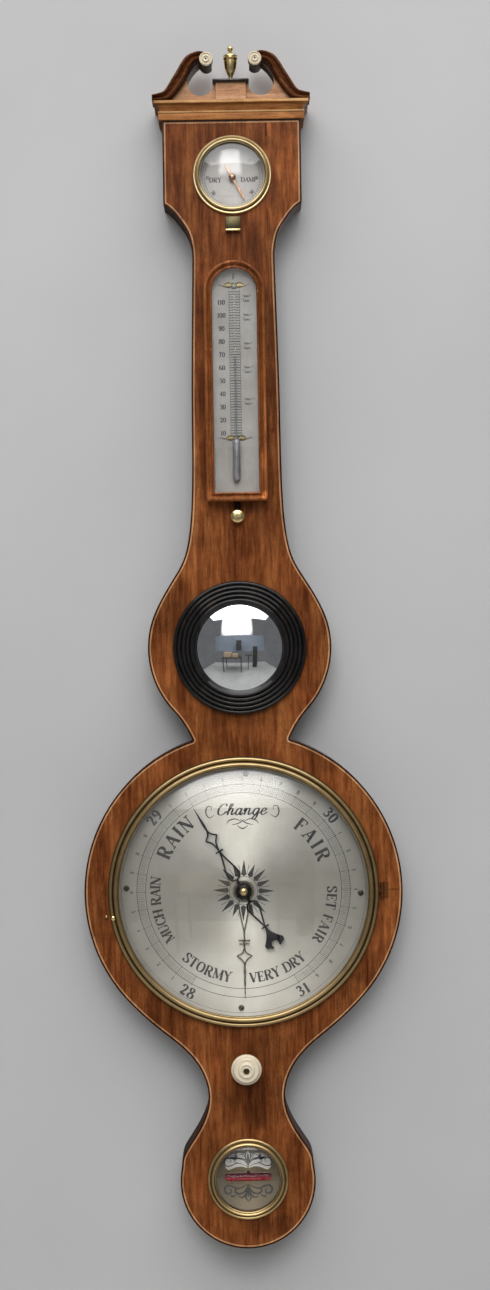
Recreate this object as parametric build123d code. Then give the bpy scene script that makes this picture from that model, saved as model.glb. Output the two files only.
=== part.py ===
from build123d import *
import math
import os

# Wheel barometer in a banjo case, 8 inch dial. Millimetres, +Z up, the front faces -Y.
# While modelling, heights count from the dial's centre and Y from the wall plane behind the case.
# save() lowers every piece by HANG_Z, so the frame's origin is the hanging hole in the wall plane.

HANG_Z = 606.0            # hanging hole above the dial's centre
CARCASS_FRONT = -31.0     # front of the routed board
FACE = -32.0              # front of the veneer
VENEER_GROOVE = 0.6       # depth of the stringing's groove
RUN = 0.05                # radial clearance of a running fit
GAP = 0.3                 # clearance between pieces that move past each other

# case outline, half widths and heights
HEAD_HALF = 55.4
HEAD_TOP = 633.0
VENEER_TOP = 617.6
HEAD_CORNER_Z = 551.0
MIRROR_Z = 195.3
LOBE_R = 73.4
LOBE_TOP_Z = 215.0
LOBE_END_Z = 146.5
CUSP_X = 38.6
DIAL_LOBE_R = 127.3
SHOULDER_X = 93.0
WAIST_X = 30.6
WAIST_Z = -165.0
LEVEL_LOBE_Z = -231.5
LEVEL_LOBE_R = 54.1
LEVEL_LOBE_TOP_Z = -219.7
STRING_INSET = 1.3        # veneer border outside the stringing
STRING_WIDTH = 1.3

# main dial
MOUTH_R = 101.5
DIAL_R = 101.0
DIAL_BACK = -23.0
DIAL_FRONT = -24.2
MOVEMENT_R = 86.0
DIAL_SCREW_R = 94.0
BEZEL_R = 108.5
BEZEL_BACK = FACE - GAP
GLASS_SEAT_R = 102.0
BEZEL_HINGE_X = 110.8
BEZEL_HINGE_Y = -34.0
BEZEL_HINGE_LENGTH = 12.0
BEZEL_LEAF_EDGE = 115.6

# tube trench and back door
TRENCH_LEFT = -23.5
TRENCH_RIGHT = 17.0
TRENCH_FRONT = -18.0
TRENCH_TOP = 586.0
TRENCH_BOTTOM = -258.0
DOOR_HALF = 25.0
DOOR_TOP = 588.0
DOOR_BOTTOM = -264.0
DOOR_FRONT = -5.5
DOOR_BACK = -2.5
DOOR_HINGE_X = -26.0
DOOR_HINGE_Y = -1.3
DOOR_HINGE_LENGTH = 30.0
DOOR_HINGE_HEIGHTS = (470.0, 180.0, -110.0)
BUTTON_X = 33.0
BUTTON_Z = 40.0

# siphon tube, its float and the movement
TUBE_Y = -12.0
LONG_LIMB_X = -17.0
PULLEY_R = 7.28           # to the thread's centre line
LONG_OUTER = 4.0
LONG_BORE = 2.2
SHORT_OUTER = 5.5
SHORT_BORE = 4.3
BEND_Z = -238.0
TUBE_TOP = 580.0
SHORT_TOP = -160.0
MERCURY_TOP = 560.0
MERCURY_LEVEL = -200.0
THREAD_R = 0.15
ARBOR_R = 1.2
PIPE_R = 3.0
SET_PULLEY_R = 10.0
KNOB_PULLEY_R = 6.0
CORD_PLANE = -20.5
KNOB_Z = -141.5
SPINDLE_R = 2.0
HAND_REST = -30.4         # degrees clockwise from upright, reads about 29.2 inches

# hygrometer, thermometer, level
HYGRO_Z = 573.4
HYGRO_HAND_REST = 152.0
SMALL_MOUTH_R = 27.5
SMALL_MOUTH_FLOOR = -21.0
THERMO_ARCH_Z = 479.0
THERMO_R = 24.25
THERMO_OPENING = 18.0
THERMO_BOTTOM = 312.0
THERMO_SILL = 318.7
BOARD_FRONT = -35.0
RAIL_FRONT = -46.0
SCALE_FRONT = -36.0
THERMO_TUBE_Y = -38.2
CATCH_Z = 300.3
LEVEL_Z = -229.6


def save(name, shape):
    export_step(Pos(0, 0, -HANG_Z) * shape, "parts/" + name + ".step")


def slab(sketch, back, front):
    """A flat shape drawn as (x, height), as a plate between two depths."""
    return extrude(Plane.XZ.offset(-back) * sketch, amount=back - front)


def rod(radius, back, front, x=0.0, z=0.0):
    """A round bar along Y."""
    return Pos(x, 0, z) * slab(Circle(radius), back, front)


def block(x0, x1, y0, y1, z0, z1):
    size = (x1 - x0, y1 - y0, z1 - z0)
    centre = ((x0 + x1) / 2, (y0 + y1) / 2, (z0 + z1) / 2)
    return Pos(*centre) * Box(*size)


def turned(points, z=0.0):
    """A ring or disc turned about the Y axis from a closed (radius, y) outline."""
    profile = make_face(Polyline(*points, close=True))
    return Pos(0, 0, z) * revolve(profile, axis=Axis.Y)


def arc_drop(radius, rise, r):
    """How far a dome of that rim radius and rise falls from its top at r."""
    sphere = (radius ** 2 + rise ** 2) / (2 * rise)
    return sphere - math.sqrt(sphere ** 2 - r ** 2)


def dome_glass(dome_r, rim_r, rim_front, rise, thickness, z=0.0):
    """A convex glass with a flat rim, made by turning its section."""
    top = rim_front - rise
    half = dome_r / 2
    middle = top + arc_drop(dome_r, rise, half)
    section = [
        ThreePointArc((0, top), (half, middle), (dome_r, rim_front)),
        Line((dome_r, rim_front), (rim_r, rim_front)),
        Line((rim_r, rim_front), (rim_r, rim_front + thickness)),
        Line((rim_r, rim_front + thickness), (dome_r, rim_front + thickness)),
        ThreePointArc((dome_r, rim_front + thickness), (half, middle + thickness), (0, top + thickness)),
        Line((0, top + thickness), (0, top)),
    ]
    return Pos(0, 0, z) * revolve(make_face(section), axis=Axis.Y)


def polar(radius, degrees):
    """The (x, height) point at an angle clockwise from upright."""
    angle = math.radians(degrees)
    return (radius * math.sin(angle), radius * math.cos(angle))


def spaced(pairs, shape):
    """Copies of one piece at several (x, z) places."""
    return Compound(children=[Pos(x, 0, z) * shape for x, z in pairs])


# ---------------------------------------------------------------- case


def lobe_half(radius, centre_z, z):
    return math.sqrt(radius ** 2 - (z - centre_z) ** 2)


def polar_foot(degrees):
    x, z = polar(LEVEL_LOBE_R, degrees)
    return (x, LEVEL_LOBE_Z + z)


def half_outline(side):
    """One half of the case's outline, from the head down to the lowest point; side is 1 or -1."""
    def at(x, z):
        return (side * x, z)

    corner = at(HEAD_HALF, HEAD_CORNER_Z)
    neck_end = at(32.9, 506)
    lobe_top = at(lobe_half(LOBE_R, MIRROR_Z, LOBE_TOP_Z), LOBE_TOP_Z)
    lobe_end = at(lobe_half(LOBE_R, MIRROR_Z, LOBE_END_Z), LOBE_END_Z)
    cusp = at(CUSP_X, lobe_half(DIAL_LOBE_R, 0, CUSP_X))
    shoulder = at(SHOULDER_X, -lobe_half(DIAL_LOBE_R, 0, SHOULDER_X))
    foot_top = at(lobe_half(LEVEL_LOBE_R, LEVEL_LOBE_Z, LEVEL_LOBE_TOP_Z), LEVEL_LOBE_TOP_Z)
    foot_side = at(*polar_foot(135))
    neck = [at(48.9, 546), at(42.5, 538), at(37.3, 530), at(34.5, 522)]
    trunk = [at(33.7, 470), at(35.3, 394), at(36.5, 314), at(39.7, 281.5), at(44.1, 265.5),
             at(53.3, 249.4), at(63.6, 232)]
    waist = [at(70, -108.5), at(47.4, -127.5), at(37.6, -140), at(WAIST_X, WAIST_Z),
             at(39.2, -191), at(48.6, -205.5)]
    return [
        Line(at(HEAD_HALF, HEAD_TOP), corner),
        Spline(corner, *neck, neck_end),
        Spline(neck_end, *trunk, lobe_top),
        ThreePointArc(lobe_top, at(LOBE_R, MIRROR_Z), lobe_end),
        Spline(lobe_end, at(45.5, 134.5), cusp),
        ThreePointArc(cusp, at(DIAL_LOBE_R, 0), shoulder),
        Spline(shoulder, *waist, foot_top, tangents=[at(-0.68, -0.73), (0, -1)]),
        ThreePointArc(foot_top, at(LEVEL_LOBE_R, LEVEL_LOBE_Z), foot_side),
        ThreePointArc(foot_side, at(*polar_foot(157.5)), (0, LEVEL_LOBE_Z - LEVEL_LOBE_R)),
    ]


def case_outline():
    top = Line((HEAD_HALF, HEAD_TOP), (-HEAD_HALF, HEAD_TOP))
    return make_face([*half_outline(1), *half_outline(-1), top])


def veneer_outline():
    below_cornice = Pos(0, VENEER_TOP - 500) * Rectangle(400, 1000)
    return case_outline() & below_cornice


def front_mouths():
    """Everything routed in from the front: dial rebate, movement space, two small mouths."""
    dial = rod(MOUTH_R, DIAL_BACK, FACE - 1)
    movement = rod(MOVEMENT_R, TRENCH_FRONT, DIAL_BACK)
    cord_way = block(-11, 11, DIAL_BACK, TRENCH_FRONT, KNOB_Z - 9, -80)
    cord_way -= block(-5, 5, DIAL_BACK, TRENCH_FRONT, KNOB_Z + 12, -80)
    hygrometer = rod(SMALL_MOUTH_R, SMALL_MOUTH_FLOOR, FACE - 1, 0, HYGRO_Z)
    level = rod(SMALL_MOUTH_R, SMALL_MOUTH_FLOOR, FACE - 1, 0, LEVEL_Z)
    spindle = rod(SPINDLE_R + RUN, TRENCH_FRONT, FACE - 1, 0, KNOB_Z)
    beard = rod(1.2, TRENCH_FRONT, SMALL_MOUTH_FLOOR, 0, HYGRO_Z)
    catch = rod(1.5 + RUN, -26, FACE - 1, 0, CATCH_Z)
    return [dial, movement, cord_way, hygrometer, level, spindle, beard, catch]


def back_cuts():
    """Everything routed in from behind: trench, door rebate, recesses for the brass."""
    trench = block(TRENCH_LEFT, TRENCH_RIGHT, TRENCH_FRONT, 0, TRENCH_BOTTOM, TRENCH_TOP)
    rebate = block(-DOOR_HALF - 0.5, DOOR_HALF + 0.5, DOOR_FRONT, 0, DOOR_BOTTOM - 0.5, DOOR_TOP + 0.5)
    cock_ledge = block(TRENCH_RIGHT - 1, 25.3, -9.4, 0, -9, 9)
    button_recess = rod(16.5, 0, DOOR_BACK, BUTTON_X, BUTTON_Z)
    plate_recess = block(-20, 20, -2, 0, HANG_Z - 12, HANG_Z + 12)
    hook_pocket = rod(9, -2, -11, 0, HANG_Z)
    cuts = [trench, rebate, cock_ledge, button_recess, plate_recess, hook_pocket]
    half = DOOR_HINGE_LENGTH / 2
    for z in DOOR_HINGE_HEIGHTS:
        cuts.append(block(-32.2, DOOR_HINGE_X, -0.9, 0, z - half - 0.2, z + half + 0.2))
        cuts.append(block(-27.5, -25.4, -2.8, 0, z - half - 0.2, z + half + 0.2))
    return cuts


def screw(head_r, head_height, shank_r, length):
    """A slotted screw along Y, its head towards -Y, its head's underside at y = 0."""
    head = rod(head_r, 0, -head_height)
    shank = rod(shank_r, length, 0)
    slot = block(-head_r, head_r, -head_height, -head_height + 0.4, -0.25, 0.25)
    return head + shank - slot


def screw_from_behind(head_r, head_height, shank_r, length):
    return Rot(0, 0, 180) * screw(head_r, head_height, shank_r, length)


def hanging_screw_places():
    return [(x, HANG_Z + z) for x in (-15, 15) for z in (-7, 7)]


def dial_screw_places():
    return [polar(DIAL_SCREW_R, turn + 2) for turn in (0, 90, 180, 270)]


def pin_holes():
    """Pilot holes of the screws and pins that end in the board."""
    holes = [rod(1.2, -16.9, -2, x, z) for x, z in hanging_screw_places()]
    holes += [rod(1.2, TRENCH_FRONT, DIAL_BACK, x, z) for x, z in dial_screw_places()]
    holes += [rod(1.0, -9.4, -15.4, 21, z) for z in (-5, 5)]
    holes.append(rod(1.5, DOOR_BACK, -12.1, BUTTON_X, BUTTON_Z))
    holes.append(rod(0.8, -28, FACE, *catch_pin_place()))
    return holes


def catch_pin_place():
    return polar(111.4, 260.6)


def case_body():
    return slab(case_outline(), 0, CARCASS_FRONT) - (front_mouths() + back_cuts() + pin_holes())


def inset_outline(inset):
    """The veneer's outline moved inwards, as a polygon with a corner about every 5 mm."""
    corners = []
    for edge in offset(veneer_outline(), amount=-inset, kind=Kind.ARC).faces()[0].outer_wire().edges():
        steps = max(1, round(edge.length / 5))
        if edge.length > 0.1:
            corners += [edge @ (step / steps) for step in range(steps)]
    return make_face(Polyline(*corners, close=True))


def stringing():
    """The boxwood line let into the veneer just inside its edge."""
    back = FACE + VENEER_GROOVE
    outer = slab(inset_outline(STRING_INSET), back, FACE)
    return outer - slab(inset_outline(STRING_INSET + STRING_WIDTH), back, FACE)


def front_veneer():
    crack = block(27.2, 27.5, FACE, CARCASS_FRONT, 594, VENEER_TOP)
    pin = rod(0.8, -28, FACE, *catch_pin_place())
    return slab(veneer_outline(), CARCASS_FRONT, FACE) - [stringing(), crack, pin, *front_mouths()]


def cornice_moulding():
    """Fillet, cavetto, bead and ovolo, mitred round the head's front and sides."""
    section = [
        Line((0, 617.6), (1.9, 617.6)),
        ThreePointArc((1.9, 617.6), (2.9, 620.4), (1.9, 623.2)),
        ThreePointArc((1.9, 623.2), (3.2, 624.2), (1.9, 625.2)),
        ThreePointArc((1.9, 625.2), (3.1, 628.6), (6.4, 630.2)),
        Line((6.4, 630.2), (6.4, HEAD_TOP)),
        Line((6.4, HEAD_TOP), (0, HEAD_TOP)),
        Line((0, HEAD_TOP), (0, 617.6)),
    ]
    profile = make_face(section)
    front = Plane(origin=(0, CARCASS_FRONT, 0), x_dir=(0, -1, 0), z_dir=(-1, 0, 0)) * profile
    front = extrude(front, amount=100, both=True)
    reach = 12.0
    cut = Polyline((-HEAD_HALF, CARCASS_FRONT), (HEAD_HALF, CARCASS_FRONT),
                   (HEAD_HALF + reach, CARCASS_FRONT - reach),
                   (-HEAD_HALF - reach, CARCASS_FRONT - reach), close=True)
    front &= Pos(0, 0, 600) * extrude(make_face(cut), amount=40)
    side = Plane(origin=(HEAD_HALF, 0, 0), x_dir=(1, 0, 0), z_dir=(0, -1, 0)) * profile
    side = extrude(side, amount=60)
    cut = Polyline((HEAD_HALF, 0), (HEAD_HALF + reach, 0),
                   (HEAD_HALF + reach, CARCASS_FRONT - reach), (HEAD_HALF, CARCASS_FRONT), close=True)
    side &= Pos(0, 0, 600) * extrude(make_face(cut), amount=40)
    return front + side + mirror(side, about=Plane.YZ)


def swan_neck(side):
    """One swan-neck's S curve, its nose rounded behind the rosette; side is 1 or -1."""
    def at(x, z):
        return (side * x, z)

    tip = at(63.1, 637.6)
    outer_foot = at(63.1, HEAD_TOP)
    inner_foot = at(50.2, HEAD_TOP)
    nose_top = at(19.5, 670.6)
    nose_foot = at(24.7, 663.2)
    upper = [at(52.9, 641.1), at(47, 650.1), at(42.6, 657.2), at(38.6, 663.8), at(34, 668.8), at(25.5, 671.9)]
    lower = [at(26.8, 661.4), at(29.7, 658.5), at(33.4, 653), at(37.2, 647.8), at(42.1, 641.1)]
    return make_face([
        Spline(tip, *upper, nose_top, tangents=[at(-1, 0.05), at(-1, -0.3)]),
        ThreePointArc(nose_top, at(14, 665.1), nose_foot),
        Spline(nose_foot, *lower, inner_foot),
        Line(inner_foot, outer_foot),
        Line(outer_foot, tip),
    ])


def swan_necks():
    return Compound(children=[slab(swan_neck(side), -30, -38) for side in (1, -1)])


def pediment_panel():
    shape = make_face(Polyline((-50, HEAD_TOP), (50, HEAD_TOP), (36, 652), (-36, 652), close=True))
    for side in (-1, 1):
        shape += swan_neck(side)
    for side in (-1, 1):
        shape -= Pos(side * 24.2, 648) * Circle(10.4)
    shape -= Pos(0, 662.3) * Rectangle(30, 30)
    plinth = Pos(0, 640.15) * Rectangle(24, 14.3)
    return slab(shape + plinth, -14, -30) + slab(plinth, -28, -34)


def plinth_cap():
    cap = block(-14.6, 14.6, -37, -11, 647.3, 649.6)
    return chamfer(cap.edges().group_by(Axis.Z)[0], 0.8)


def finial():
    """Turned brass urn with a lid and a ball on top."""
    section = make_face(Polyline(
        (0, 649.6), (2.6, 649.6), (2.6, 650.8), (1.6, 651.8), (1.8, 654), (3, 656), (4.2, 659), (5, 662.5),
        (5.3, 666.5), (5.8, 668.4), (5.8, 671), (4.4, 671.9), (2.2, 673), (1.2, 674.8), (0, 675), close=True))
    urn = revolve(Plane.XZ * section, axis=Axis.Z) + Pos(0, 0, 676.7) * Sphere(2.4)
    return Pos(0, -24, 0) * urn


def rosettes():
    disc = turned([(0, -38), (5.3, -38), (5.3, -39.4), (4.4, -40), (3.4, -39.2), (2.4, -40.4),
                   (1.4, -40), (0.9, -41.2), (0, -41.4)])
    return spaced([(-19.5, 665.1), (19.5, 665.1)], disc)


def hanging_plate():
    plate = block(-20, 20, -2, 0, HANG_Z - 12, HANG_Z + 12) - rod(4, 0, -2, 0, HANG_Z)
    for x, z in hanging_screw_places():
        plate -= rod(1.2, 0, -2, x, z)
        plate -= rod(2.4, 0, -0.8, x, z)
    return plate


def back_screws():
    """Screws of the hanging plate, of the cock and of the door's turn button."""
    wood = screw_from_behind(2.3, 0.7, 1.15, 14)
    small = screw_from_behind(1.9, 0.7, 0.95, 6.9)
    pivot = rod(3, -0.1, -0.6) + rod(1.45, -0.6, -12)
    pieces = [Pos(x, -0.8, z) * wood for x, z in hanging_screw_places()]
    pieces += [Pos(21, -8.2, z) * small for z in (-5, 5)]
    pieces.append(Pos(BUTTON_X, 0, BUTTON_Z) * pivot)
    return Compound(children=pieces)


# ---------------------------------------------------------------- hinges


def knuckled(length, axis_x, axis_y, radius, pin_r, middle):
    """Knuckles of one leaf on a vertical axis: the middle third, or the two outer thirds."""
    third = length / 3
    clear = 0.1
    if middle:
        spans = [(-third / 2 + clear, third / 2 - clear)]
    else:
        spans = [(-length / 2, -third / 2 - clear), (third / 2 + clear, length / 2)]
    bore = pin_r + (RUN if middle else 0.02)
    knuckles = []
    for low, high in spans:
        tube = Cylinder(radius, high - low) - Cylinder(bore, high - low)
        knuckles.append(Pos(axis_x, axis_y, (low + high) / 2) * tube)
    return knuckles


def fixed_leaf(length, axis_x, axis_y, radius, pin_r, plate):
    leaf = plate - block(axis_x - radius - 0.4, axis_x + radius + 0.4, axis_y - 5, axis_y + 5,
                         -length / 6 - 0.1, length / 6 + 0.1)
    leaf -= Pos(axis_x, axis_y, 0) * Cylinder(pin_r + 0.02, length)
    for knuckle in knuckled(length, axis_x, axis_y, radius, pin_r, False):
        leaf += knuckle
    return leaf


def hinge_leaves():
    """Leaves on the case: one for the dial bezel, three for the back door."""
    half = BEZEL_HINGE_LENGTH / 2
    plate = block(BEZEL_HINGE_X + 0.2, BEZEL_LEAF_EDGE, FACE - 0.9, FACE, -half, half)
    bezel = fixed_leaf(BEZEL_HINGE_LENGTH, BEZEL_HINGE_X, BEZEL_HINGE_Y, 1.5, 0.7, plate)
    half = DOOR_HINGE_LENGTH / 2
    plate = block(-32, DOOR_HINGE_X - 0.2, -0.9, -0.1, -half, half)
    door = fixed_leaf(DOOR_HINGE_LENGTH, DOOR_HINGE_X, DOOR_HINGE_Y, 1.2, 0.5, plate)
    return Compound(children=[bezel] + [Pos(0, 0, z) * door for z in DOOR_HINGE_HEIGHTS])


def hinge_pins():
    bezel = Pos(BEZEL_HINGE_X, BEZEL_HINGE_Y, 0) * Cylinder(0.7, BEZEL_HINGE_LENGTH)
    door = Pos(DOOR_HINGE_X, DOOR_HINGE_Y, 0) * Cylinder(0.5, DOOR_HINGE_LENGTH)
    return Compound(children=[bezel] + [Pos(0, 0, z) * door for z in DOOR_HINGE_HEIGHTS])


def bezel_hinge_strap():
    knuckle = knuckled(BEZEL_HINGE_LENGTH, BEZEL_HINGE_X, BEZEL_HINGE_Y, 1.5, 0.7, True)[0]
    third = BEZEL_HINGE_LENGTH / 6 - 0.2
    tab = block(BEZEL_R + 0.02, BEZEL_HINGE_X, -34.8, -33.2, -third, third)
    tab -= Pos(BEZEL_HINGE_X, BEZEL_HINGE_Y, 0) * Cylinder(0.7 + RUN, 20)
    return knuckle + tab


def door_hinge_straps():
    half = DOOR_HINGE_LENGTH / 2
    third = DOOR_HINGE_LENGTH / 6 - 0.1
    leaf = block(-24.4, -17, DOOR_BACK, -1.7, -half, half)
    tab = block(DOOR_HINGE_X, -24.4, DOOR_BACK, -1.7, -third, third)
    tab -= Pos(DOOR_HINGE_X, DOOR_HINGE_Y, 0) * Cylinder(0.5 + RUN, 20)
    knuckle = knuckled(DOOR_HINGE_LENGTH, DOOR_HINGE_X, DOOR_HINGE_Y, 1.2, 0.5, True)[0]
    strap = leaf + tab + knuckle
    return Compound(children=[Pos(0, 0, z) * strap for z in DOOR_HINGE_HEIGHTS])


def back_door():
    return block(-DOOR_HALF, DOOR_HALF, DOOR_FRONT, DOOR_BACK, DOOR_BOTTOM, DOOR_TOP)


def door_button():
    """Stored upright, clear of the door; turned level it laps over the door's edge."""
    bar = SlotOverall(30, 7, rotation=90) - Circle(1.45 + RUN)
    return Pos(BUTTON_X, 0, BUTTON_Z) * slab(bar, -0.7, -2.2)


# ---------------------------------------------------------------- main dial


def dial_plate():
    plate = rod(DIAL_R, DIAL_BACK, DIAL_FRONT) - rod(PIPE_R + RUN, DIAL_BACK, DIAL_FRONT)
    for x, z in dial_screw_places():
        plate -= rod(1.2, DIAL_BACK, DIAL_FRONT, x, z)
    return plate


def dial_screws():
    piece = screw(2.4, 1.0, 1.15, 6)
    return Compound(children=[Pos(x, DIAL_FRONT, z) * piece for x, z in dial_screw_places()])


def dial_bezel():
    """Cast brass ring: outer bead, groove, raised bead and inner cove, with its pull stud."""
    ring = turned([
        (BEZEL_R, BEZEL_BACK), (BEZEL_R, -34.4), (107.7, -36.2), (106.2, -37.2), (104.9, -36.7),
        (104.3, -35.6), (103.7, -37.9), (102.6, -39.2), (101.2, -39.2), (100.2, -38),
        (99.4, -37.8), (99.4, -36.6), (GLASS_SEAT_R, -36.6), (GLASS_SEAT_R, BEZEL_BACK),
    ])
    x, z = polar(106.0, 259.7)
    stud = rod(0.9, -35, -38.2, x, z) + Pos(x, -38.4, z) * Sphere(1.4)
    return ring + stud


def dial_glass():
    return dome_glass(98.0, 101.8, -36.5, 12.0, 2.0)


def bezel_catch_pin():
    x, z = catch_pin_place()
    pin = rod(0.78, -28, -33.4, x, z)
    return pin + Pos(x, -33.6, z) * Sphere(1.4)


def strand(points, width):
    """A bar of even width along a smooth line through points."""
    count = len(points) - 1
    line = Spline(*points) if count > 1 else Line(*points)
    left, right = [], []
    steps = 10 if count > 1 else 1
    for i in range(steps + 1):
        place, run = line @ (i / steps), line % (i / steps)
        side = Vector(-run.Y, run.X) * (width / 2)
        left.append(place + side)
        right.append(place - side)
    return make_face(Polyline(*left, *reversed(right), close=True))


def both_sides(points, width):
    """A strand and its mirror twin, drawn separately."""
    return strand(points, width) + strand([(-x, z) for x, z in points], width)


def spear_hand():
    """Blued hand drawn upright: slim dart, hollow star, bar, open loop and a flared tail."""
    dart = make_face(Polyline((0.15, 78), (0.6, 70), (1.05, 63), (0.95, 59), (0.6, 56),
                              (-0.6, 56), (-0.95, 59), (-1.05, 63), (-0.6, 70), (-0.15, 78), close=True))
    star = both_sides([(-0.4, 57.2), (1.3, 53.2), (5.4, 49.6)], 1.25)
    star += both_sides([(5.4, 49.6), (1.5, 45.2), (-0.4, 38.4)], 1.25)
    loop = both_sides([(-0.4, 37.6), (1.5, 30), (3.7, 22), (5, 15.5), (3.6, 12), (-0.4, 10.4)], 1.3)
    tail = both_sides([(-0.4, -33.6), (1.6, -27), (3.6, -20), (4.8, -14.5), (3.4, -11.2), (-0.4, -9.8)], 1.3)
    bars = Pos(0, 37.2) * Rectangle(6.8, 1.3) + Pos(0, -33.2) * Rectangle(6.8, 1.3)
    stem = Pos(0, 37.6) * Rectangle(1.5, 5) + Rectangle(2.4, 21)
    flare = make_face(Polyline((1.1, -32.9), (1.5, -36), (2.8, -39.8), (5, -43), (8.4, -46.8), (8, -49.6),
                               (5.2, -50.6), (3.4, -52), (-3.4, -52), (-5.2, -50.6), (-8, -49.6),
                               (-8.4, -46.8), (-5, -43), (-2.8, -39.8), (-1.5, -36), (-1.1, -32.9),
                               close=True))
    flare -= Pos(0, -49.4) * Circle(3.2) + Pos(0, -53) * Rectangle(4, 4)
    return dart + star + loop + tail + bars + stem + flare + Circle(6.2)


def indicator_hand():
    hand = slab(spear_hand() - Circle(ARBOR_R), -27.8, -28.6)
    return Rot(0, HAND_REST, 0) * hand


def hand_boss():
    """Blackened boss with a small brass dome, pressed on the arbor's end."""
    boss = turned([(ARBOR_R, -28.6), (6.8, -28.6), (6.8, -29.8), (5.6, -31.6), (3.2, -32), (3.2, -33.2),
                   (2.4, -34.4), (0, -35), (0, -33), (ARBOR_R, -33)])
    return boss


def arbor():
    """Steel arbor with the float pulley turned on it."""
    wheel = turned([(ARBOR_R, -10.8), (8.2, -10.8), (8.2, -11.4), (7.0, -11.6), (7.0, -12.4),
                    (8.2, -12.6), (8.2, -13.2), (ARBOR_R, -13.2)])
    return rod(ARBOR_R, -7.8, -33.0) + wheel


def bridge():
    """Brass cock behind the dial that carries the arbor's back end."""
    plate = block(-6, 25.2, -9.4, -8.2, -8.5, 8.5) - rod(ARBOR_R + RUN, -8.2, -9.4)
    for z in (-5, 5):
        plate -= rod(1.0, -8.2, -9.4, 21, z)
    return plate


def set_hand():
    """Brass set hand drawn upright: open V loop, two bars, hollow star and a fine point."""
    point = make_face(Polyline((0.2, 85.8), (0.85, 70), (0.95, 62), (0.5, 57.5),
                               (-0.5, 57.5), (-0.95, 62), (-0.85, 70), (-0.2, 85.8), close=True))
    star = both_sides([(-0.3, 59), (1.9, 55.2), (6.2, 52)], 0.9)
    star += both_sides([(6.2, 52), (1.7, 49.6), (-0.3, 45.4)], 0.9)
    loop = both_sides([(-0.3, 33.4), (1.3, 27), (2.9, 19), (3.9, 12), (3.6, 7)], 1.0)
    bars = Pos(0, 39.6) * Rectangle(9.2, 1) + Pos(0, 42.4) * Rectangle(7.8, 0.9)
    stem = Pos(0, 38.8) * Rectangle(1.3, 15)
    shape = point + star + loop + bars + stem + Circle(8.4) - Circle(PIPE_R)
    return Rot(0, 180, 0) * slab(shape, -26.0, -26.6)


def grooved(bore, radius, centre_y):
    """A cord pulley: outline of its half section with a V groove."""
    return [(bore, centre_y + 1), (radius, centre_y + 1), (radius, centre_y + 0.7),
            (radius - 0.7, centre_y + 0.5), (radius - 0.7, centre_y - 0.5),
            (radius, centre_y - 0.7), (radius, centre_y - 1), (bore, centre_y - 1)]


def set_hand_pulley():
    pipe = rod(PIPE_R, CORD_PLANE + 1, -27.0) - rod(ARBOR_R + RUN, 0, -40)
    return pipe + turned(grooved(PIPE_R - 0.5, SET_PULLEY_R, CORD_PLANE))


def knob_spindle():
    return rod(SPINDLE_R, -18.9, -40, 0, KNOB_Z) + turned(grooved(1, KNOB_PULLEY_R, CORD_PLANE), KNOB_Z)


def set_knob():
    """Turned bone knob with concentric rings."""
    return turned([(0, -43.5), (1.8, -43.3), (2.6, -42.3), (4.4, -43), (6.2, -42.6), (7, -41.6),
                   (8.8, -41.8), (10.2, -40.6), (10.8, -39.2), (12.2, -38), (12.2, -35.8), (10.4, -34.4),
                   (8, -33.6), (8, FACE - 0.4), (SPINDLE_R, FACE - 0.4), (SPINDLE_R, -40), (0, -40)], KNOB_Z)


def drive_cord():
    """Endless silk cord round the two pulleys."""
    def loop(clearance):
        top = Circle(SET_PULLEY_R - 0.7 + clearance)
        foot = Pos(0, KNOB_Z) * Circle(KNOB_PULLEY_R - 0.7 + clearance)
        return make_hull(top.edges() + foot.edges())
    return slab(loop(0.95) - loop(0.15), CORD_PLANE + 0.4, CORD_PLANE - 0.4)


# ---------------------------------------------------------------- siphon tube


def upright(radius, low, high, x):
    return Pos(x, TUBE_Y, (low + high) / 2) * Cylinder(radius, high - low)


def limb_sweep(radius, top, short_end):
    """A round bar down the long limb, round the bend and up to a height in the short limb."""
    middle_x = (LONG_LIMB_X + PULLEY_R) / 2
    bend_r = (PULLEY_R - LONG_LIMB_X) / 2
    path = Wire([
        Line((LONG_LIMB_X, TUBE_Y, top), (LONG_LIMB_X, TUBE_Y, BEND_Z)),
        ThreePointArc((LONG_LIMB_X, TUBE_Y, BEND_Z), (middle_x, TUBE_Y, BEND_Z - bend_r),
                      (PULLEY_R, TUBE_Y, BEND_Z)),
        Line((PULLEY_R, TUBE_Y, BEND_Z), (PULLEY_R, TUBE_Y, short_end)),
    ])
    return sweep(Plane(origin=path @ 0, z_dir=(0, 0, -1)) * Circle(radius), path=path)


def siphon_tube():
    glass = limb_sweep(LONG_OUTER, TUBE_TOP, BEND_Z + 1) + upright(SHORT_OUTER, BEND_Z, SHORT_TOP, PULLEY_R)
    bore = limb_sweep(LONG_BORE, TUBE_TOP - LONG_OUTER, BEND_Z + 3)
    return glass - bore - upright(SHORT_BORE, BEND_Z + 2, SHORT_TOP, PULLEY_R)


def mercury_column():
    return limb_sweep(LONG_BORE - 0.05, MERCURY_TOP, BEND_Z + 1.9)


def short_limb_mercury():
    return upright(SHORT_BORE - 0.05, BEND_Z + 2.05, MERCURY_LEVEL, PULLEY_R)


def tube_saddles():
    """Cork saddles that hold the long limb in the trench."""
    saddle = block(-22.5, -11.5, TRENCH_FRONT, -8.6, -5, 5)
    saddle -= Pos(LONG_LIMB_X, TUBE_Y, 0) * Cylinder(LONG_OUTER + 0.02, 10)
    saddle -= block(LONG_LIMB_X - 3, LONG_LIMB_X + 3, -9.2, 0, -5, 5)
    return Compound(children=[Pos(0, 0, z) * saddle for z in (520, 300, 90, -120)])


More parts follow.
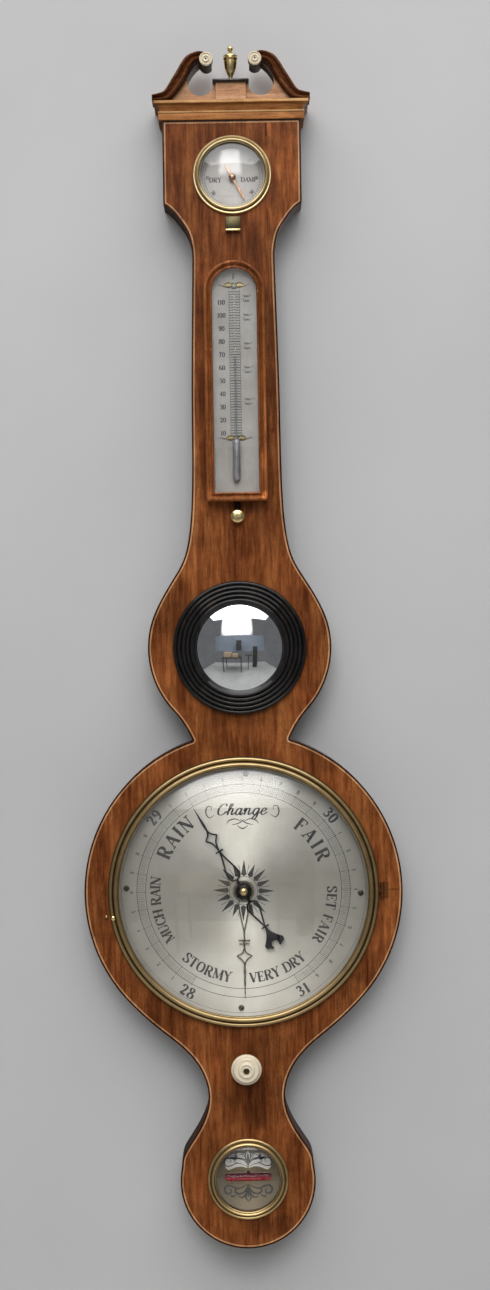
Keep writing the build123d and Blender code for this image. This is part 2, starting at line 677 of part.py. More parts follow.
def float_weight():
    return upright(3.2, MERCURY_LEVEL + 0.1, MERCURY_LEVEL + 20, PULLEY_R)


def float_thread():
    return upright(THREAD_R, MERCURY_LEVEL + 20.1, 0, PULLEY_R)


def counterweight():
    return upright(2.6, -82, -60, -PULLEY_R)


def counterweight_thread():
    return upright(THREAD_R, -59.9, 0, -PULLEY_R)


# ---------------------------------------------------------------- small dials


def small_bezel(outer, opening, front, z):
    """Turned brass ring of the hygrometer and of the level."""
    width = outer - opening
    return turned([(outer, FACE), (outer, FACE - 1.6), (outer - 0.25 * width, FACE - 3.4),
                   (outer - 0.42 * width, FACE - 3.2), (outer - 0.5 * width, FACE - 2.6),
                   (outer - 0.6 * width, front), (outer - 0.85 * width, front - 0.3),
                   (opening, front + 1.2), (opening, front + 2), (opening + 1.2, front + 2),
                   (opening + 1.2, FACE)], z)


def hygrometer_bezel():
    return small_bezel(31.7, 25.9, -37.4, HYGRO_Z)


def hygrometer_glass():
    return dome_glass(25.6, 27.0, -35.3, 5.0, 1.4, HYGRO_Z)


def hygrometer_plate():
    plate = rod(27.2, SMALL_MOUTH_FLOOR, -22.2, 0, HYGRO_Z)
    return plate - rod(0.6, SMALL_MOUTH_FLOOR, -22.2, 0, HYGRO_Z)


def hygrometer_hand():
    """Gilt hand and boss on the stem that the oat beard turns."""
    long_end = make_face(Polyline((0.6, 0), (1.3, 15), (0, 21.4), (-1.3, 15), (-0.6, 0), close=True))
    short_end = make_face(Polyline((0.6, 0), (1.6, -8), (0, -12.6), (-1.6, -8), (-0.6, 0), close=True))
    hand = slab(long_end + short_end + Circle(2.8), -24.6, -25.1)
    boss = turned([(0, -25.1), (2.8, -25.1), (2.4, -26.4), (1, -27.2), (0, -27.2)])
    stem = rod(0.5, -18.4, -25.1)
    turned_hand = Rot(0, HYGRO_HAND_REST, 0) * hand
    return Pos(0, 0, HYGRO_Z) * (turned_hand + boss + stem)


def hygrometer_catch():
    """Sprung brass tab below the hygrometer, with a lip for a fingernail."""
    tab = block(-6, 6, -33.5, FACE - 0.35, 528, 540.2)
    lip = block(-6, 6, -36.2, -33.5, 528, 529.6)
    return tab + lip


def level_bezel():
    return small_bezel(32.6, 26.1, -36.6, LEVEL_Z)


def level_glass():
    return dome_glass(25.8, 27.2, -34.5, 4.0, 1.4, LEVEL_Z)


def level_plate():
    return rod(27.3, SMALL_MOUTH_FLOOR, -22.4, 0, LEVEL_Z)


def level_vial():
    """Slightly barrelled glass vial with its filling nipple."""
    body = Pos(0, -26.6, LEVEL_Z) * Rot(0, 90, 0) * (Cylinder(3.5, 36) - Cylinder(2.7, 36))
    caps = [Pos(x, -26.6, LEVEL_Z) * Rot(0, 90, 0) * Cylinder(3.5, 2) for x in (-19, 19)]
    nipple = Pos(0, -26.6, LEVEL_Z + 4.2) * Cylinder(0.9, 2)
    return body + caps[0] + caps[1] + nipple


def level_spirit():
    return Pos(0, -26.6, LEVEL_Z) * Rot(0, 90, 0) * Cylinder(2.65, 35.9)


# ---------------------------------------------------------------- thermometer


def arched(half_width, bottom):
    """A panel with a half-round head."""
    height = THERMO_ARCH_Z - bottom
    body = Pos(0, bottom + height / 2) * Rectangle(2 * half_width, height)
    return body + Pos(0, THERMO_ARCH_Z) * Circle(half_width)


def thermometer_box():
    board = slab(arched(THERMO_R - 0.4, THERMO_BOTTOM + 0.4), FACE, BOARD_FRONT)
    return board - rod(16.8, FACE, FACE - 2.2, 0, CATCH_Z)


def rail_solid():
    frame = arched(THERMO_R, THERMO_BOTTOM) - arched(THERMO_OPENING, THERMO_SILL)
    return slab(frame, BOARD_FRONT, RAIL_FRONT)


def thermometer_arch_rail():
    return rail_solid() & block(-40, 40, -60, 0, THERMO_ARCH_Z, THERMO_ARCH_Z + 40)


def thermometer_rails():
    """Two stiles and the sill, mitred at the lower corners."""
    rails = rail_solid() & block(-40, 40, -60, 0, THERMO_BOTTOM - 5, THERMO_ARCH_Z)
    corner = (THERMO_R, THERMO_BOTTOM)
    inner = (THERMO_OPENING, THERMO_SILL)
    run = (inner[0] - corner[0], inner[1] - corner[1])
    far = (corner[0] + 2.5 * run[0], corner[1] + 2.5 * run[1])
    near = (corner[0] - run[0], corner[1] - run[1])
    wedge = make_face(Polyline((-far[0], far[1]), (far[0], far[1]), near, (near[0], near[1] - 20),
                               (-near[0], near[1] - 20), (-near[0], near[1]), close=True))
    cut = slab(wedge, BOARD_FRONT + 1, RAIL_FRONT - 1)
    sill = rails & cut
    stiles = rails - cut
    return Compound(children=[*sill.solids(), *stiles.solids()])


def thermometer_pane():
    return slab(arched(THERMO_OPENING - 0.1, THERMO_SILL + 0.1), -43, -44.2)


def thermometer_scale():
    return slab(arched(THERMO_OPENING - 0.2, THERMO_SILL + 0.2), BOARD_FRONT, SCALE_FRONT)


def thermometer_tube():
    """Stem and long bulb of the glass, hollow for its mercury."""
    stem = Pos(0, THERMO_TUBE_Y, 425) * Cylinder(1.6, 128)
    bulb = Pos(0, -39.4, 344.5) * Cylinder(3, 28)
    for z in (330.5, 358.5):
        bulb += Pos(0, -39.4, z) * Sphere(3)
    hollow = Pos(0, -39.4, 344.5) * Cylinder(2.5, 27) + Pos(0, THERMO_TUBE_Y, 410) * Cylinder(0.8, 105)
    return stem + bulb - hollow


def thermometer_mercury():
    reservoir = Pos(0, -39.4, 344.5) * Cylinder(2.45, 26.8)
    return reservoir + Pos(0, THERMO_TUBE_Y, 392.5) * Cylinder(0.75, 70)


def leaf_clips():
    """Two brass leaf clips that strap the glass to its scale."""
    clips = []
    for z, half in ((484, 12.7), (362, 13.4)):
        leaf = make_face([Spline((-half, 0), (-5, 3.6), (0, 2.8), (5, 3.6), (half, 0)),
                          Spline((half, 0), (5, -3.6), (0, -2.8), (-5, -3.6), (-half, 0))])
        plate = slab(leaf, SCALE_FRONT, -36.5)
        strap = Pos(0, THERMO_TUBE_Y, 0) * (Cylinder(2.3, 4) & block(-3, 3, -4, 1.9, -2, 2))
        clip = plate + strap - Pos(0, THERMO_TUBE_Y, 0) * Cylinder(1.62, 12)
        clips.append(Pos(0, 0, z) * clip)
    return Compound(children=[clips[0], trimmed_clip(clips[1])])


def trimmed_clip(clip):
    """The lower clip is cut away over the bulb's shoulder."""
    clip -= Pos(0, -39.4, 358.5) * Sphere(3.05)
    return clip - Pos(0, -39.4, 350) * Cylinder(3.05, 17)


def thermometer_knob():
    """Brass knob whose tongue reaches up behind the box's sill."""
    knob = turned([(0, -40.5), (2, -40.8), (4.4, -40.4), (5.7, -39.2), (5.7, -37.8), (4, -36.2),
                   (2.6, -35.4), (2.6, -33.5), (4.6, -33.5), (4.6, FACE - 0.4), (1.5, FACE - 0.4),
                   (1.5, -27), (0, -27)])
    tongue = block(-2.5, 2.5, -33.5, FACE - 0.4, 0, 16)
    return Pos(0, 0, CATCH_Z) * (knob + tongue)


# ---------------------------------------------------------------- convex mirror


def mirror_frame():
    """Ebonised frame turned with a cove and five reeds."""
    outline = [(53.5, FACE), (53.5, -34.5)]
    for reed in range(5):
        outer = 53.0 - 3.3 * reed
        height = -37.5 - 1.3 * reed
        outline += [(outer, height + 1.2), (outer - 0.9, height), (outer - 2.3, height),
                    (outer - 3.2, height + 1.2)]
    outline += [(34.9, -41), (34.9, -39.2), (37.2, -39.2), (37.2, FACE)]
    return turned(outline, MIRROR_Z)


def mirror_glass():
    """Convex silvered glass, solid to the case as one plug of glass and backing."""
    half = 17.4
    middle = -46.5 + arc_drop(34.7, 7.0, half)
    section = [
        ThreePointArc((0, -46.5), (half, middle), (34.7, -39.5)),
        Line((34.7, -39.5), (34.7, -39.1)),
        Line((34.7, -39.1), (37, -39.1)),
        Line((37, -39.1), (37, FACE - 0.1)),
        Line((37, FACE - 0.1), (0, FACE - 0.1)),
        Line((0, FACE - 0.1), (0, -46.5)),
    ]
    return Pos(0, 0, MIRROR_Z) * revolve(make_face(section), axis=Axis.Y)


PIECES = {
    "case_body": case_body,
    "front_veneer": front_veneer,
    "stringing": stringing,
    "cornice_moulding": cornice_moulding,
    "pediment_panel": pediment_panel,
    "swan_necks": swan_necks,
    "rosettes": rosettes,
    "plinth_cap": plinth_cap,
    "finial": finial,
    "hanging_plate": hanging_plate,
    "back_screws": back_screws,
    "hinge_leaves": hinge_leaves,
    "hinge_pins": hinge_pins,
    "back_door": back_door,
    "door_hinge_straps": door_hinge_straps,
    "door_button": door_button,
    "dial_plate": dial_plate,
    "dial_screws": dial_screws,
    "dial_bezel": dial_bezel,
    "dial_glass": dial_glass,
    "bezel_hinge_strap": bezel_hinge_strap,
    "bezel_catch_pin": bezel_catch_pin,
    "indicator_hand": indicator_hand,
    "hand_boss": hand_boss,
    "arbor": arbor,
    "bridge": bridge,
    "set_hand": set_hand,
    "set_hand_pulley": set_hand_pulley,
    "set_knob": set_knob,
    "knob_spindle": knob_spindle,
    "drive_cord": drive_cord,
    "siphon_tube": siphon_tube,
    "mercury_column": mercury_column,
    "short_limb_mercury": short_limb_mercury,
    "tube_saddles": tube_saddles,
    "float_weight": float_weight,
    "float_thread": float_thread,
    "counterweight": counterweight,
    "counterweight_thread": counterweight_thread,
    "hygrometer_bezel": hygrometer_bezel,
    "hygrometer_glass": hygrometer_glass,
    "hygrometer_plate": hygrometer_plate,
    "hygrometer_hand": hygrometer_hand,
    "hygrometer_catch": hygrometer_catch,
    "thermometer_box": thermometer_box,
    "thermometer_arch_rail": thermometer_arch_rail,
    "thermometer_rails": thermometer_rails,
    "thermometer_pane": thermometer_pane,
    "thermometer_scale": thermometer_scale,
    "thermometer_tube": thermometer_tube,
    "thermometer_mercury": thermometer_mercury,
    "leaf_clips": leaf_clips,
    "thermometer_knob": thermometer_knob,
    "mirror_frame": mirror_frame,
    "mirror_glass": mirror_glass,
    "level_bezel": level_bezel,
    "level_glass": level_glass,
    "level_plate": level_plate,
    "level_vial": level_vial,
    "level_spirit": level_spirit,
}

os.makedirs("parts", exist_ok=True)
for name, make in PIECES.items():
    save(name, make())
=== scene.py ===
import math

import bmesh
import bpy
from mathutils import Matrix, Vector


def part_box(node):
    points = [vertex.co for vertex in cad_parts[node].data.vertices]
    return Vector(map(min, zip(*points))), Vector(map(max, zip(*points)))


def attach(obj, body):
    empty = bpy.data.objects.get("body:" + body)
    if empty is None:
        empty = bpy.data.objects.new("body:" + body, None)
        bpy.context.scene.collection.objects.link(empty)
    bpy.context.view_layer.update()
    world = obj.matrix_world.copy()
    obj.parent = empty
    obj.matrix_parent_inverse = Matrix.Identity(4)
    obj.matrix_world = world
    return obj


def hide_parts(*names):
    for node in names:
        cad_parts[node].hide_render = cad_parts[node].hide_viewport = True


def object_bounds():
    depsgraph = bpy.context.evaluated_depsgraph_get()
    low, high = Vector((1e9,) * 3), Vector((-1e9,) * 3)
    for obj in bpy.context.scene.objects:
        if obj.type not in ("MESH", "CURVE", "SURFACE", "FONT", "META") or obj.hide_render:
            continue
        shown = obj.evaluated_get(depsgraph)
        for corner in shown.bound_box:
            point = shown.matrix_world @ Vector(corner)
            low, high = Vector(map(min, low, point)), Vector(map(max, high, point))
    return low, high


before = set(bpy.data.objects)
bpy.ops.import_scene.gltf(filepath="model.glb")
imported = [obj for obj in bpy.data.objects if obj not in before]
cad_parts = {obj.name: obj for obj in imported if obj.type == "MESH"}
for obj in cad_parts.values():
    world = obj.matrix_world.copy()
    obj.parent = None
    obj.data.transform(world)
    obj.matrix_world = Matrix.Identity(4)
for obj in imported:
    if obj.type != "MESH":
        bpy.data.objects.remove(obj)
CAD_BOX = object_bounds()

# Wheel barometer in a banjo case. Shapes are drawn in millimetres as (x, y, height), where height
# counts from the main dial's centre and y from the wall plane; the front faces -y.
MM = 0.001
DIAL_LOW, DIAL_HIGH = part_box("dial_plate")
ORIGIN = Vector((0.5 * (DIAL_LOW.x + DIAL_HIGH.x), 0.0, 0.5 * (DIAL_LOW.z + DIAL_HIGH.z)))

# Heights of the middles of the fittings; ARCH_H is where the thermometer's arch springs.
HYGRO_H, ARCH_H, LOCK_H, MIRROR_H, KNOB_H, LEVEL_H = 573.4, 479.0, 300.3, 195.3, -141.5, -229.6
ROSETTE_X, ROSETTE_H = 19.5, 665.1
# Fronts of the veneer and of the four silvered plates, and the axes of the two glass tubes.
FACE, DIAL_FRONT, HYGRO_FRONT, LEVEL_FRONT, SCALE_FRONT = -32.0, -24.2, -22.2, -22.4, -36.0
TUBE_Y, VIAL_Y = -38.2, -26.6
# Degrees clockwise from upright at which the two hands stand at rest.
HAND_REST, HYGRO_REST = -30.4, 152.0


def polar(radius, degrees):
    """The (x, height) point at an angle clockwise from upright."""
    angle = math.radians(degrees)
    return (radius * math.sin(angle), radius * math.cos(angle))


def smooth_line(points, steps=8, closed=False):
    """A Catmull-Rom line through points of any dimension."""
    count = len(points)
    line = []
    spans = count if closed else count - 1
    for i in range(spans):
        if closed:
            p = [points[(i + k - 1) % count] for k in range(4)]
        else:
            p = [points[max(0, min(count - 1, i + k - 1))] for k in range(4)]
        for s in range(steps):
            t = s / steps
            line.append(tuple(
                0.5 * (2 * b + (c - a) * t + (2 * a - 5 * b + 4 * c - d) * t * t
                       + (3 * b - a - 3 * c + d) * t ** 3)
                for a, b, c, d in zip(*p)))
    if not closed:
        line.append(tuple(points[-1]))
    return line


def arc(centre, radius, start, end, steps):
    """Points of an arc in a section, its angles counter-clockwise from the first axis."""
    points = []
    for i in range(steps + 1):
        a = math.radians(start + (end - start) * i / steps)
        points.append((centre[0] + radius * math.cos(a), centre[1] + radius * math.sin(a)))
    return points


def offset_line(points, distance, closed=False):
    """The line moved to its left by a distance, with mitred corners."""
    count = len(points)
    moved = []
    for i, p in enumerate(points):
        before = points[i - 1] if closed or i > 0 else None
        after = points[(i + 1) % count] if closed or i < count - 1 else None
        normals = []
        for a, b in ((before, p), (p, after)):
            if a is None or b is None:
                continue
            dx, dy = b[0] - a[0], b[1] - a[1]
            length = math.hypot(dx, dy)
            if length > 1e-9:
                normals.append((-dy / length, dx / length))
        if len(normals) == 2:
            (ax, ay), (bx, by) = normals
            share = max(0.35, 1 + ax * bx + ay * by)
            nx, ny = (ax + bx) / share, (ay + by) / share
        else:
            nx, ny = normals[0]
        d = distance[i] if isinstance(distance, (list, tuple)) else distance
        moved.append((p[0] + nx * d, p[1] + ny * d))
    return moved


class Shape:
    """Closed solids collected into one mesh, drawn in millimetres."""

    def __init__(self):
        self.verts = []
        self.faces = []
        self.slots = []

    def add(self, verts, faces, slot=0):
        base = len(self.verts)
        self.verts += [tuple(v) for v in verts]
        self.faces += [[base + i for i in f] for f in faces]
        self.slots += [slot] * len(faces)
        return self

    def loft(self, rings, closed=False, slot=0):
        """Joins equal rings of points; the ends are capped or joined to each other."""
        size = len(rings[0])
        verts = [p for ring in rings for p in ring]
        faces = []
        spans = len(rings) if closed else len(rings) - 1
        for i in range(spans):
            a, b = i * size, ((i + 1) % len(rings)) * size
            for k in range(size):
                n = (k + 1) % size
                faces.append([a + k, a + n, b + n, b + k])
        if not closed:
            for start in (0, (len(rings) - 1) * size):
                faces.append([start + k for k in range(size)])
        return self.add(verts, faces, slot)

    def lathe(self, section, at=(0, 0), steps=96, axis="Y", slot=0, y=0.0):
        """Turns a closed (radius, along) section about an axis through (x, height)."""
        verts, faces, start = [], [], []
        for radius, along in section:
            start.append(len(verts))
            turns = 1 if radius < 1e-6 else steps
            for i in range(turns):
                a = 2 * math.pi * i / steps
                across, up = radius * math.sin(a), radius * math.cos(a)
                if axis == "Y":
                    verts.append((at[0] + across, y + along, at[1] + up))
                elif axis == "Z":
                    verts.append((at[0] + across, y + up, at[1] + along))
                else:
                    verts.append((at[0] + along, y + across, at[1] + up))
        count = len(section)
        for i in range(count):
            j = (i + 1) % count
            flat_i, flat_j = section[i][0] < 1e-6, section[j][0] < 1e-6
            if flat_i and flat_j:
                continue
            for k in range(steps):
                n = (k + 1) % steps
                if flat_i:
                    faces.append([start[i], start[j] + n, start[j] + k])
                elif flat_j:
                    faces.append([start[i] + k, start[i] + n, start[j]])
                else:
                    faces.append([start[i] + k, start[i] + n, start[j] + n, start[j] + k])
        return self.add(verts, faces, slot)

    def strip(self, points, width, back, front, bevel=0.0, closed=False, slot=0, place=None):
        """A bar of a given width along a drawn line, its front edges eased by the bevel."""
        count = len(points)
        widths = list(width) if isinstance(width, (list, tuple)) else [width] * count
        rings = []
        profile = [(1.0, 0.0, back), (1.0, 0.0, front + bevel), (1.0, -bevel, front), (-1.0, -bevel, front),
                   (-1.0, 0.0, front + bevel), (-1.0, 0.0, back)]
        if bevel <= 0:
            profile = [(1.0, 0.0, back), (1.0, 0.0, front), (-1.0, 0.0, front), (-1.0, 0.0, back)]
        edges = []
        for side, ease, y in profile:
            edges.append(offset_line(points, [side * max(0.01, w / 2 + ease) for w in widths], closed))
        for i in range(count):
            ring = []
            for (side, ease, y), edge in zip(profile, edges):
                x, h = place(edge[i]) if place else edge[i]
                ring.append((x, y, h))
            rings.append(ring)
        return self.loft(rings, closed=closed, slot=slot)

    def plate(self, outline, back, front, bevel=0.0, slot=0):
        """A flat piece drawn as a counter-clockwise outline, its front edge eased by the bevel."""
        levels = [(0.0, back), (0.0, front + bevel), (bevel, front)] if bevel > 0 else [(0.0, back),
                (0.0, front)]
        rings = []
        for inset, y in levels:
            edge = offset_line(outline, inset, True) if inset else outline
            rings.append([(x, y, h) for x, h in edge])
        return self.loft(rings, slot=slot)

    def box(self, low, high, bevel=0.0, slot=0):
        """A block with chamfered edges, from its lowest to its highest corner."""
        mesh = bmesh.new()
        bmesh.ops.create_cube(mesh, size=1.0)
        for v in mesh.verts:
            for i in range(3):
                v.co[i] = low[i] if v.co[i] < 0 else high[i]
        if bevel > 0:
            bmesh.ops.bevel(mesh, geom=mesh.edges[:], offset=bevel, segments=2, profile=0.5, affect="EDGES")
        mesh.verts.index_update()
        self.add([tuple(v.co) for v in mesh.verts], [[v.index for v in f.verts] for f in mesh.faces], slot)
        mesh.free()
        return self

    def done(self, name, materials, body, replaces=(), slot=None, crease=32.0, turn=None):
        """Makes the object. turn is (degrees clockwise from the front, centre height)."""
        verts = self.verts
        if turn:
            angle, centre = math.radians(turn[0]), turn[1]
            c, s = math.cos(angle), math.sin(angle)
            verts = [(x * c + (h - centre) * s, y, centre + (h - centre) * c - x * s) for x, y, h in verts]
        data = bpy.data.meshes.new(name)
        data.from_pydata([ORIGIN + Vector(v) * MM for v in verts], [], self.faces)
        for polygon, slot_index in zip(data.polygons, self.slots):
            polygon.material_index = slot_index
        mesh = bmesh.new()
        mesh.from_mesh(data)
        bmesh.ops.remove_doubles(mesh, verts=mesh.verts, dist=1e-7)
        bmesh.ops.recalc_face_normals(mesh, faces=mesh.faces)
        mesh.to_mesh(data)
        mesh.free()
        data.shade_smooth()
        data.set_sharp_from_angle(angle=math.radians(crease))
        for material in materials if isinstance(materials, (list, tuple)) else [materials]:
            data.materials.append(material)
        obj = bpy.data.objects.new(name, data)
        bpy.context.scene.collection.objects.link(obj)
        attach(obj, body)
        if replaces:
            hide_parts(*replaces)
        return obj


# ---------------------------------------------------------------- materials


def put_node(tree, kind, inputs=(), **settings):
    """Adds a node; an input that is a socket is linked and any other is set."""
    node = tree.nodes.new(kind)
    for key, value in settings.items():
        setattr(node, key, value)
    for key, value in dict(inputs).items():
        if isinstance(value, bpy.types.NodeSocket):
            tree.links.new(value, node.inputs[key])
        else:
            node.inputs[key].default_value = value
    return node


def full_colour(value):
    """A socket as it is; a colour or a grey with its alpha."""
    if isinstance(value, bpy.types.NodeSocket):
        return value
    return (*value, 1) if isinstance(value, tuple) else (value, value, value, 1)


class Paint:
    """A procedural material, its patterns measured in millimetres."""

    def __init__(self, name, **sockets):
        self.material = bpy.data.materials.new(name)
        self.material.use_nodes = True
        self.tree = self.material.node_tree
        self.tree.nodes.clear()
        self.output = self.tree.nodes.new("ShaderNodeOutputMaterial")
        self.shader = self.tree.nodes.new("ShaderNodeBsdfPrincipled")
        self.tree.links.new(self.shader.outputs[0], self.output.inputs[0])
        for socket, value in sockets.items():
            self.shader.inputs[socket.replace("_", " ")].default_value = value
        coords = self.tree.nodes.new("ShaderNodeTexCoord")
        shift = self.tree.nodes.new("ShaderNodeMapping")
        shift.inputs["Location"].default_value = tuple(-ORIGIN * 1000)
        shift.inputs["Scale"].default_value = (1000, 1000, 1000)
        self.tree.links.new(coords.outputs["Object"], shift.inputs["Vector"])
        self.mm = shift.outputs[0]

    def put(self, kind, inputs=(), **settings):
        return put_node(self.tree, kind, inputs, **settings)

    def set(self, socket, value):
        self.tree.links.new(value, self.shader.inputs[socket])

    def stretch(self, scale, vector=None):
        return self.put("ShaderNodeMapping", {"Vector": vector or self.mm, "Scale": scale}).outputs[0]

    def noise(self, scale, detail=3.0, rough=0.5, vector=None, bend=0.0, stretch=None):
        source = self.stretch(stretch, vector) if stretch else (vector or self.mm)
        node = self.put("ShaderNodeTexNoise", {
            "Vector": source, "Scale": scale, "Detail": detail, "Roughness": rough, "Distortion": bend})
        return node.outputs["Fac"]

    def ramp(self, value, *stops):
        node = self.put("ShaderNodeValToRGB", {"Fac": value})
        elements = node.color_ramp.elements
        while len(elements) < len(stops):
            elements.new(0.5)
        for element, (place, colour) in zip(elements, stops):
            element.position = place
            element.color = full_colour(colour)
        return node.outputs["Color"]

    def mix(self, share, a, b, blend="MIX"):
        inputs = {0: share, 6: full_colour(a), 7: full_colour(b)}
        return self.put("ShaderNodeMix", inputs, data_type="RGBA", blend_type=blend).outputs[2]

    def shade(self, share, colour, pattern, *stops):
        """The colour multiplied, in part, by a pattern's ramp."""
        return self.mix(share, colour, self.ramp(pattern, *stops), "MULTIPLY")

    def math(self, operation, a, b=0.0):
        return self.put("ShaderNodeMath", {0: a, 1: b}, operation=operation).outputs[0]

    def axis(self, index, vector=None):
        return self.put("ShaderNodeSeparateXYZ", {0: vector or self.mm}).outputs[index]

    def radius(self, height, across=0.0):
        """Distance in millimetres from an axis along Y at (across, height)."""
        x = self.math("SUBTRACT", self.axis(0), across)
        z = self.math("SUBTRACT", self.axis(2), height)
        square = self.math("ADD", self.math("MULTIPLY", x, x), self.math("MULTIPLY", z, z))
        return self.math("SQRT", square)

    def line(self, value):
        """A vector along one axis, for a pattern that varies with a single value."""
        return self.put("ShaderNodeCombineXYZ", {0: value}).outputs[0]

    def spot(self, x, height, across, up):
        """A soft patch with a wandering edge, one at its middle."""
        dx = self.math("DIVIDE", self.math("SUBTRACT", self.axis(0), x), across)
        dz = self.math("DIVIDE", self.math("SUBTRACT", self.axis(2), height), up)
        square = self.math("ADD", self.math("MULTIPLY", dx, dx), self.math("MULTIPLY", dz, dz))
        wander = self.math("ADD", square, self.noise(0.08, 3, 0.6, stretch=(1, 1, 0.3)))
        return self.ramp(wander, (0.55, 1.0), (1.5, 0.0))

    def between(self, index, low, high, blur):
        """One where an axis lies between two places in millimetres, with soft ends."""
        value = self.axis(index)
        rise = self.put("ShaderNodeMapRange", {"Value": value, "From Min": low - blur,
                                               "From Max": low + blur})
        fall = self.put("ShaderNodeMapRange", {"Value": value, "From Min": high + blur,
                                               "From Max": high - blur})
        return self.math("MULTIPLY", rise.outputs[0], fall.outputs[0])

    def bump(self, height, distance, strength=1.0):
        """Raises the surface by up to a distance in millimetres."""
        inputs = {"Height": height, "Distance": distance * MM, "Strength": strength}
        if self.shader.inputs["Normal"].is_linked:
            inputs["Normal"] = self.shader.inputs["Normal"].links[0].from_socket
        self.set("Normal", self.put("ShaderNodeBump", inputs).outputs[0])
        return self

    def clear_where(self, share):
        """Turns clear where the share is one."""
        clear = self.put("ShaderNodeBsdfTransparent").outputs[0]
        mixed = self.put("ShaderNodeMixShader", {0: share, 1: self.shader.outputs[0], 2: clear})
        self.tree.links.new(mixed.outputs[0], self.output.inputs[0])

    def glass(self):
        """Lets lamps through to what is behind the glass."""
        self.clear_where(self.put("ShaderNodeLightPath").outputs["Is Shadow Ray"])
        return self


def wood(name, dark, mid, light, along=2, gloss=0.24, coat=0.02, figure=1.0, wear=None, tones=(), lines=(),
         sides=1.0, shine=0.08):
    """Polished hardwood: broad bands, short streaks, open pores and a soft mottle, its grain along one axis.

    Each tone is a soft patch (x, height, half width, half height, gain); each line a narrow change of
    colour (left, right, bottom, top, gain), such as a crack or a joint in the veneer. sides is the gain
    on faces turned away from front and back: painted shade, darkening such faces as the undersides seen
    from below; these faces are also made rougher, having lost their polish."""
    paint = Paint(name, Coat_Weight=coat, Coat_Roughness=0.06, Specular_IOR_Level=shine)
    run = [1.0, 1.0, 1.0]
    run[along] = 0.07
    bands = paint.noise(0.13, 4, 0.55, stretch=tuple(run), bend=0.6)
    run[along] = 0.11
    streaks = paint.noise(0.42, 5, 0.6, stretch=tuple(run), bend=0.5)
    patches = paint.noise(0.022, 3, 0.5)
    shimmer = paint.noise(0.11, 4, 0.6)
    tone = paint.math("ADD", paint.math("MULTIPLY", bands, 0.5), paint.math("MULTIPLY", streaks, 0.5))
    colour = paint.ramp(tone, (0.34, dark), (0.5, mid), (0.67, light))
    colour = paint.shade(0.8 * figure, colour, patches, (0.34, 0.62), (0.62, 1.22))
    colour = paint.shade(0.6 * figure, colour, shimmer, (0.3, 0.66), (0.7, 1.28))
    for patch in tones:
        colour = paint.mix(paint.spot(*patch[:4]), colour, patch[4], "MULTIPLY")
    for left, right, low, high, gain in lines:
        line = paint.math("MULTIPLY", paint.between(0, left, right, 0.3), paint.between(2, low, high, 0.3))
        colour = paint.mix(line, colour, gain, "MULTIPLY")
    fine = list(run)
    fine[along] = 0.2
    pores = paint.noise(2.0, 3, 0.6, stretch=tuple(fine))
    colour = paint.shade(0.7, colour, pores, (0.34, 0.5), (0.46, 1.0), (0.7, 1.1))
    if wear:
        share, worn = wear
        spots = paint.ramp(paint.noise(0.35, 5, 0.7), (0.62 - share, 0.0), (0.72 - share, 1.0))
        colour = paint.mix(spots, colour, worn)
    roughness = paint.ramp(streaks, (0.3, gloss), (0.7, gloss + 0.12))
    # Painted shade: faces turned sideways, such as undersides, are darkened by the sides gain.
    if sides != 1.0:
        normal = paint.put("ShaderNodeNewGeometry").outputs["Normal"]
        side = paint.ramp(paint.math("ABSOLUTE", paint.axis(1, normal)), (0.25, 1.0), (0.6, 0.0))
        colour = paint.mix(side, colour, sides, "MULTIPLY")
        roughness = paint.mix(side, roughness, 0.7)
    paint.set("Base Color", colour)
    paint.set("Roughness", roughness)
    paint.bump(pores, 0.05, 0.4)
    paint.bump(streaks, 0.04, 0.25)
    return paint.material


def metal(name, colour, tarnish, rough=0.3, share=0.5, dents=0.02):
    """Cast or rolled metal with cloudy tarnish and fine scratches."""
    paint = Paint(name, Metallic=1.0)
    cloud = paint.noise(0.12, 5, 0.65)
    grit = paint.noise(1.7, 3, 0.6)
    scratch = paint.noise(1.2, 2, 0.5, stretch=(1.0, 0.2, 0.15))
    colour = paint.mix(paint.ramp(cloud, (0.5 - 0.3 * share, 0.0), (0.78, share * 1.6)), colour, tarnish)
    colour = paint.shade(0.35, colour, grit, (0.3, 0.7), (0.6, 1.05))
    paint.set("Base Color", colour)
    paint.set("Roughness", paint.math("ADD", paint.math("MULTIPLY", cloud, 0.25), rough - 0.1))
    paint.bump(grit, dents, 0.5)
    paint.bump(scratch, dents, 0.4)
    return paint.material


def ringed(name, height, grooves, base, groove_colour):
    """Turned work seen end on, darker in its grooves: painted shade in the hollows, together with dirt."""
    paint = Paint(name, Metallic=1.0)
    r = paint.radius(height)
    dirt = None
    for groove in grooves:
        near = paint.math("ABSOLUTE", paint.math("SUBTRACT", r, groove))
        line = paint.ramp(near, (0.15, 1.0), (0.6, 0.0))
        dirt = line if dirt is None else paint.math("MAXIMUM", dirt, line)
    cloud = paint.noise(0.09, 5, 0.65)
    grit = paint.noise(1.4, 4, 0.65)
    rings = paint.noise(9.0, 1, 0.4, vector=paint.line(r))
    colour = paint.mix(paint.ramp(cloud, (0.42, 0.0), (0.75, 0.55)), base, groove_colour)
    # Painted shade and dirt: the grooves are darkened, broken up by grit.
    groove_shade_and_dirt = paint.math("MULTIPLY", dirt, paint.ramp(grit, (0.2, 0.55), (0.6, 1.0)))
    colour = paint.mix(groove_shade_and_dirt, colour, tuple(0.28 * c for c in groove_colour))
    paint.set("Base Color", colour)
    fine = paint.math("ADD", paint.math("MULTIPLY", grit, 0.12), 0.28)
    paint.set("Roughness", paint.math("ADD", paint.math("MULTIPLY", groove_shade_and_dirt, 0.3), fine))
    paint.bump(rings, 0.015, 0.35)
    return paint.material


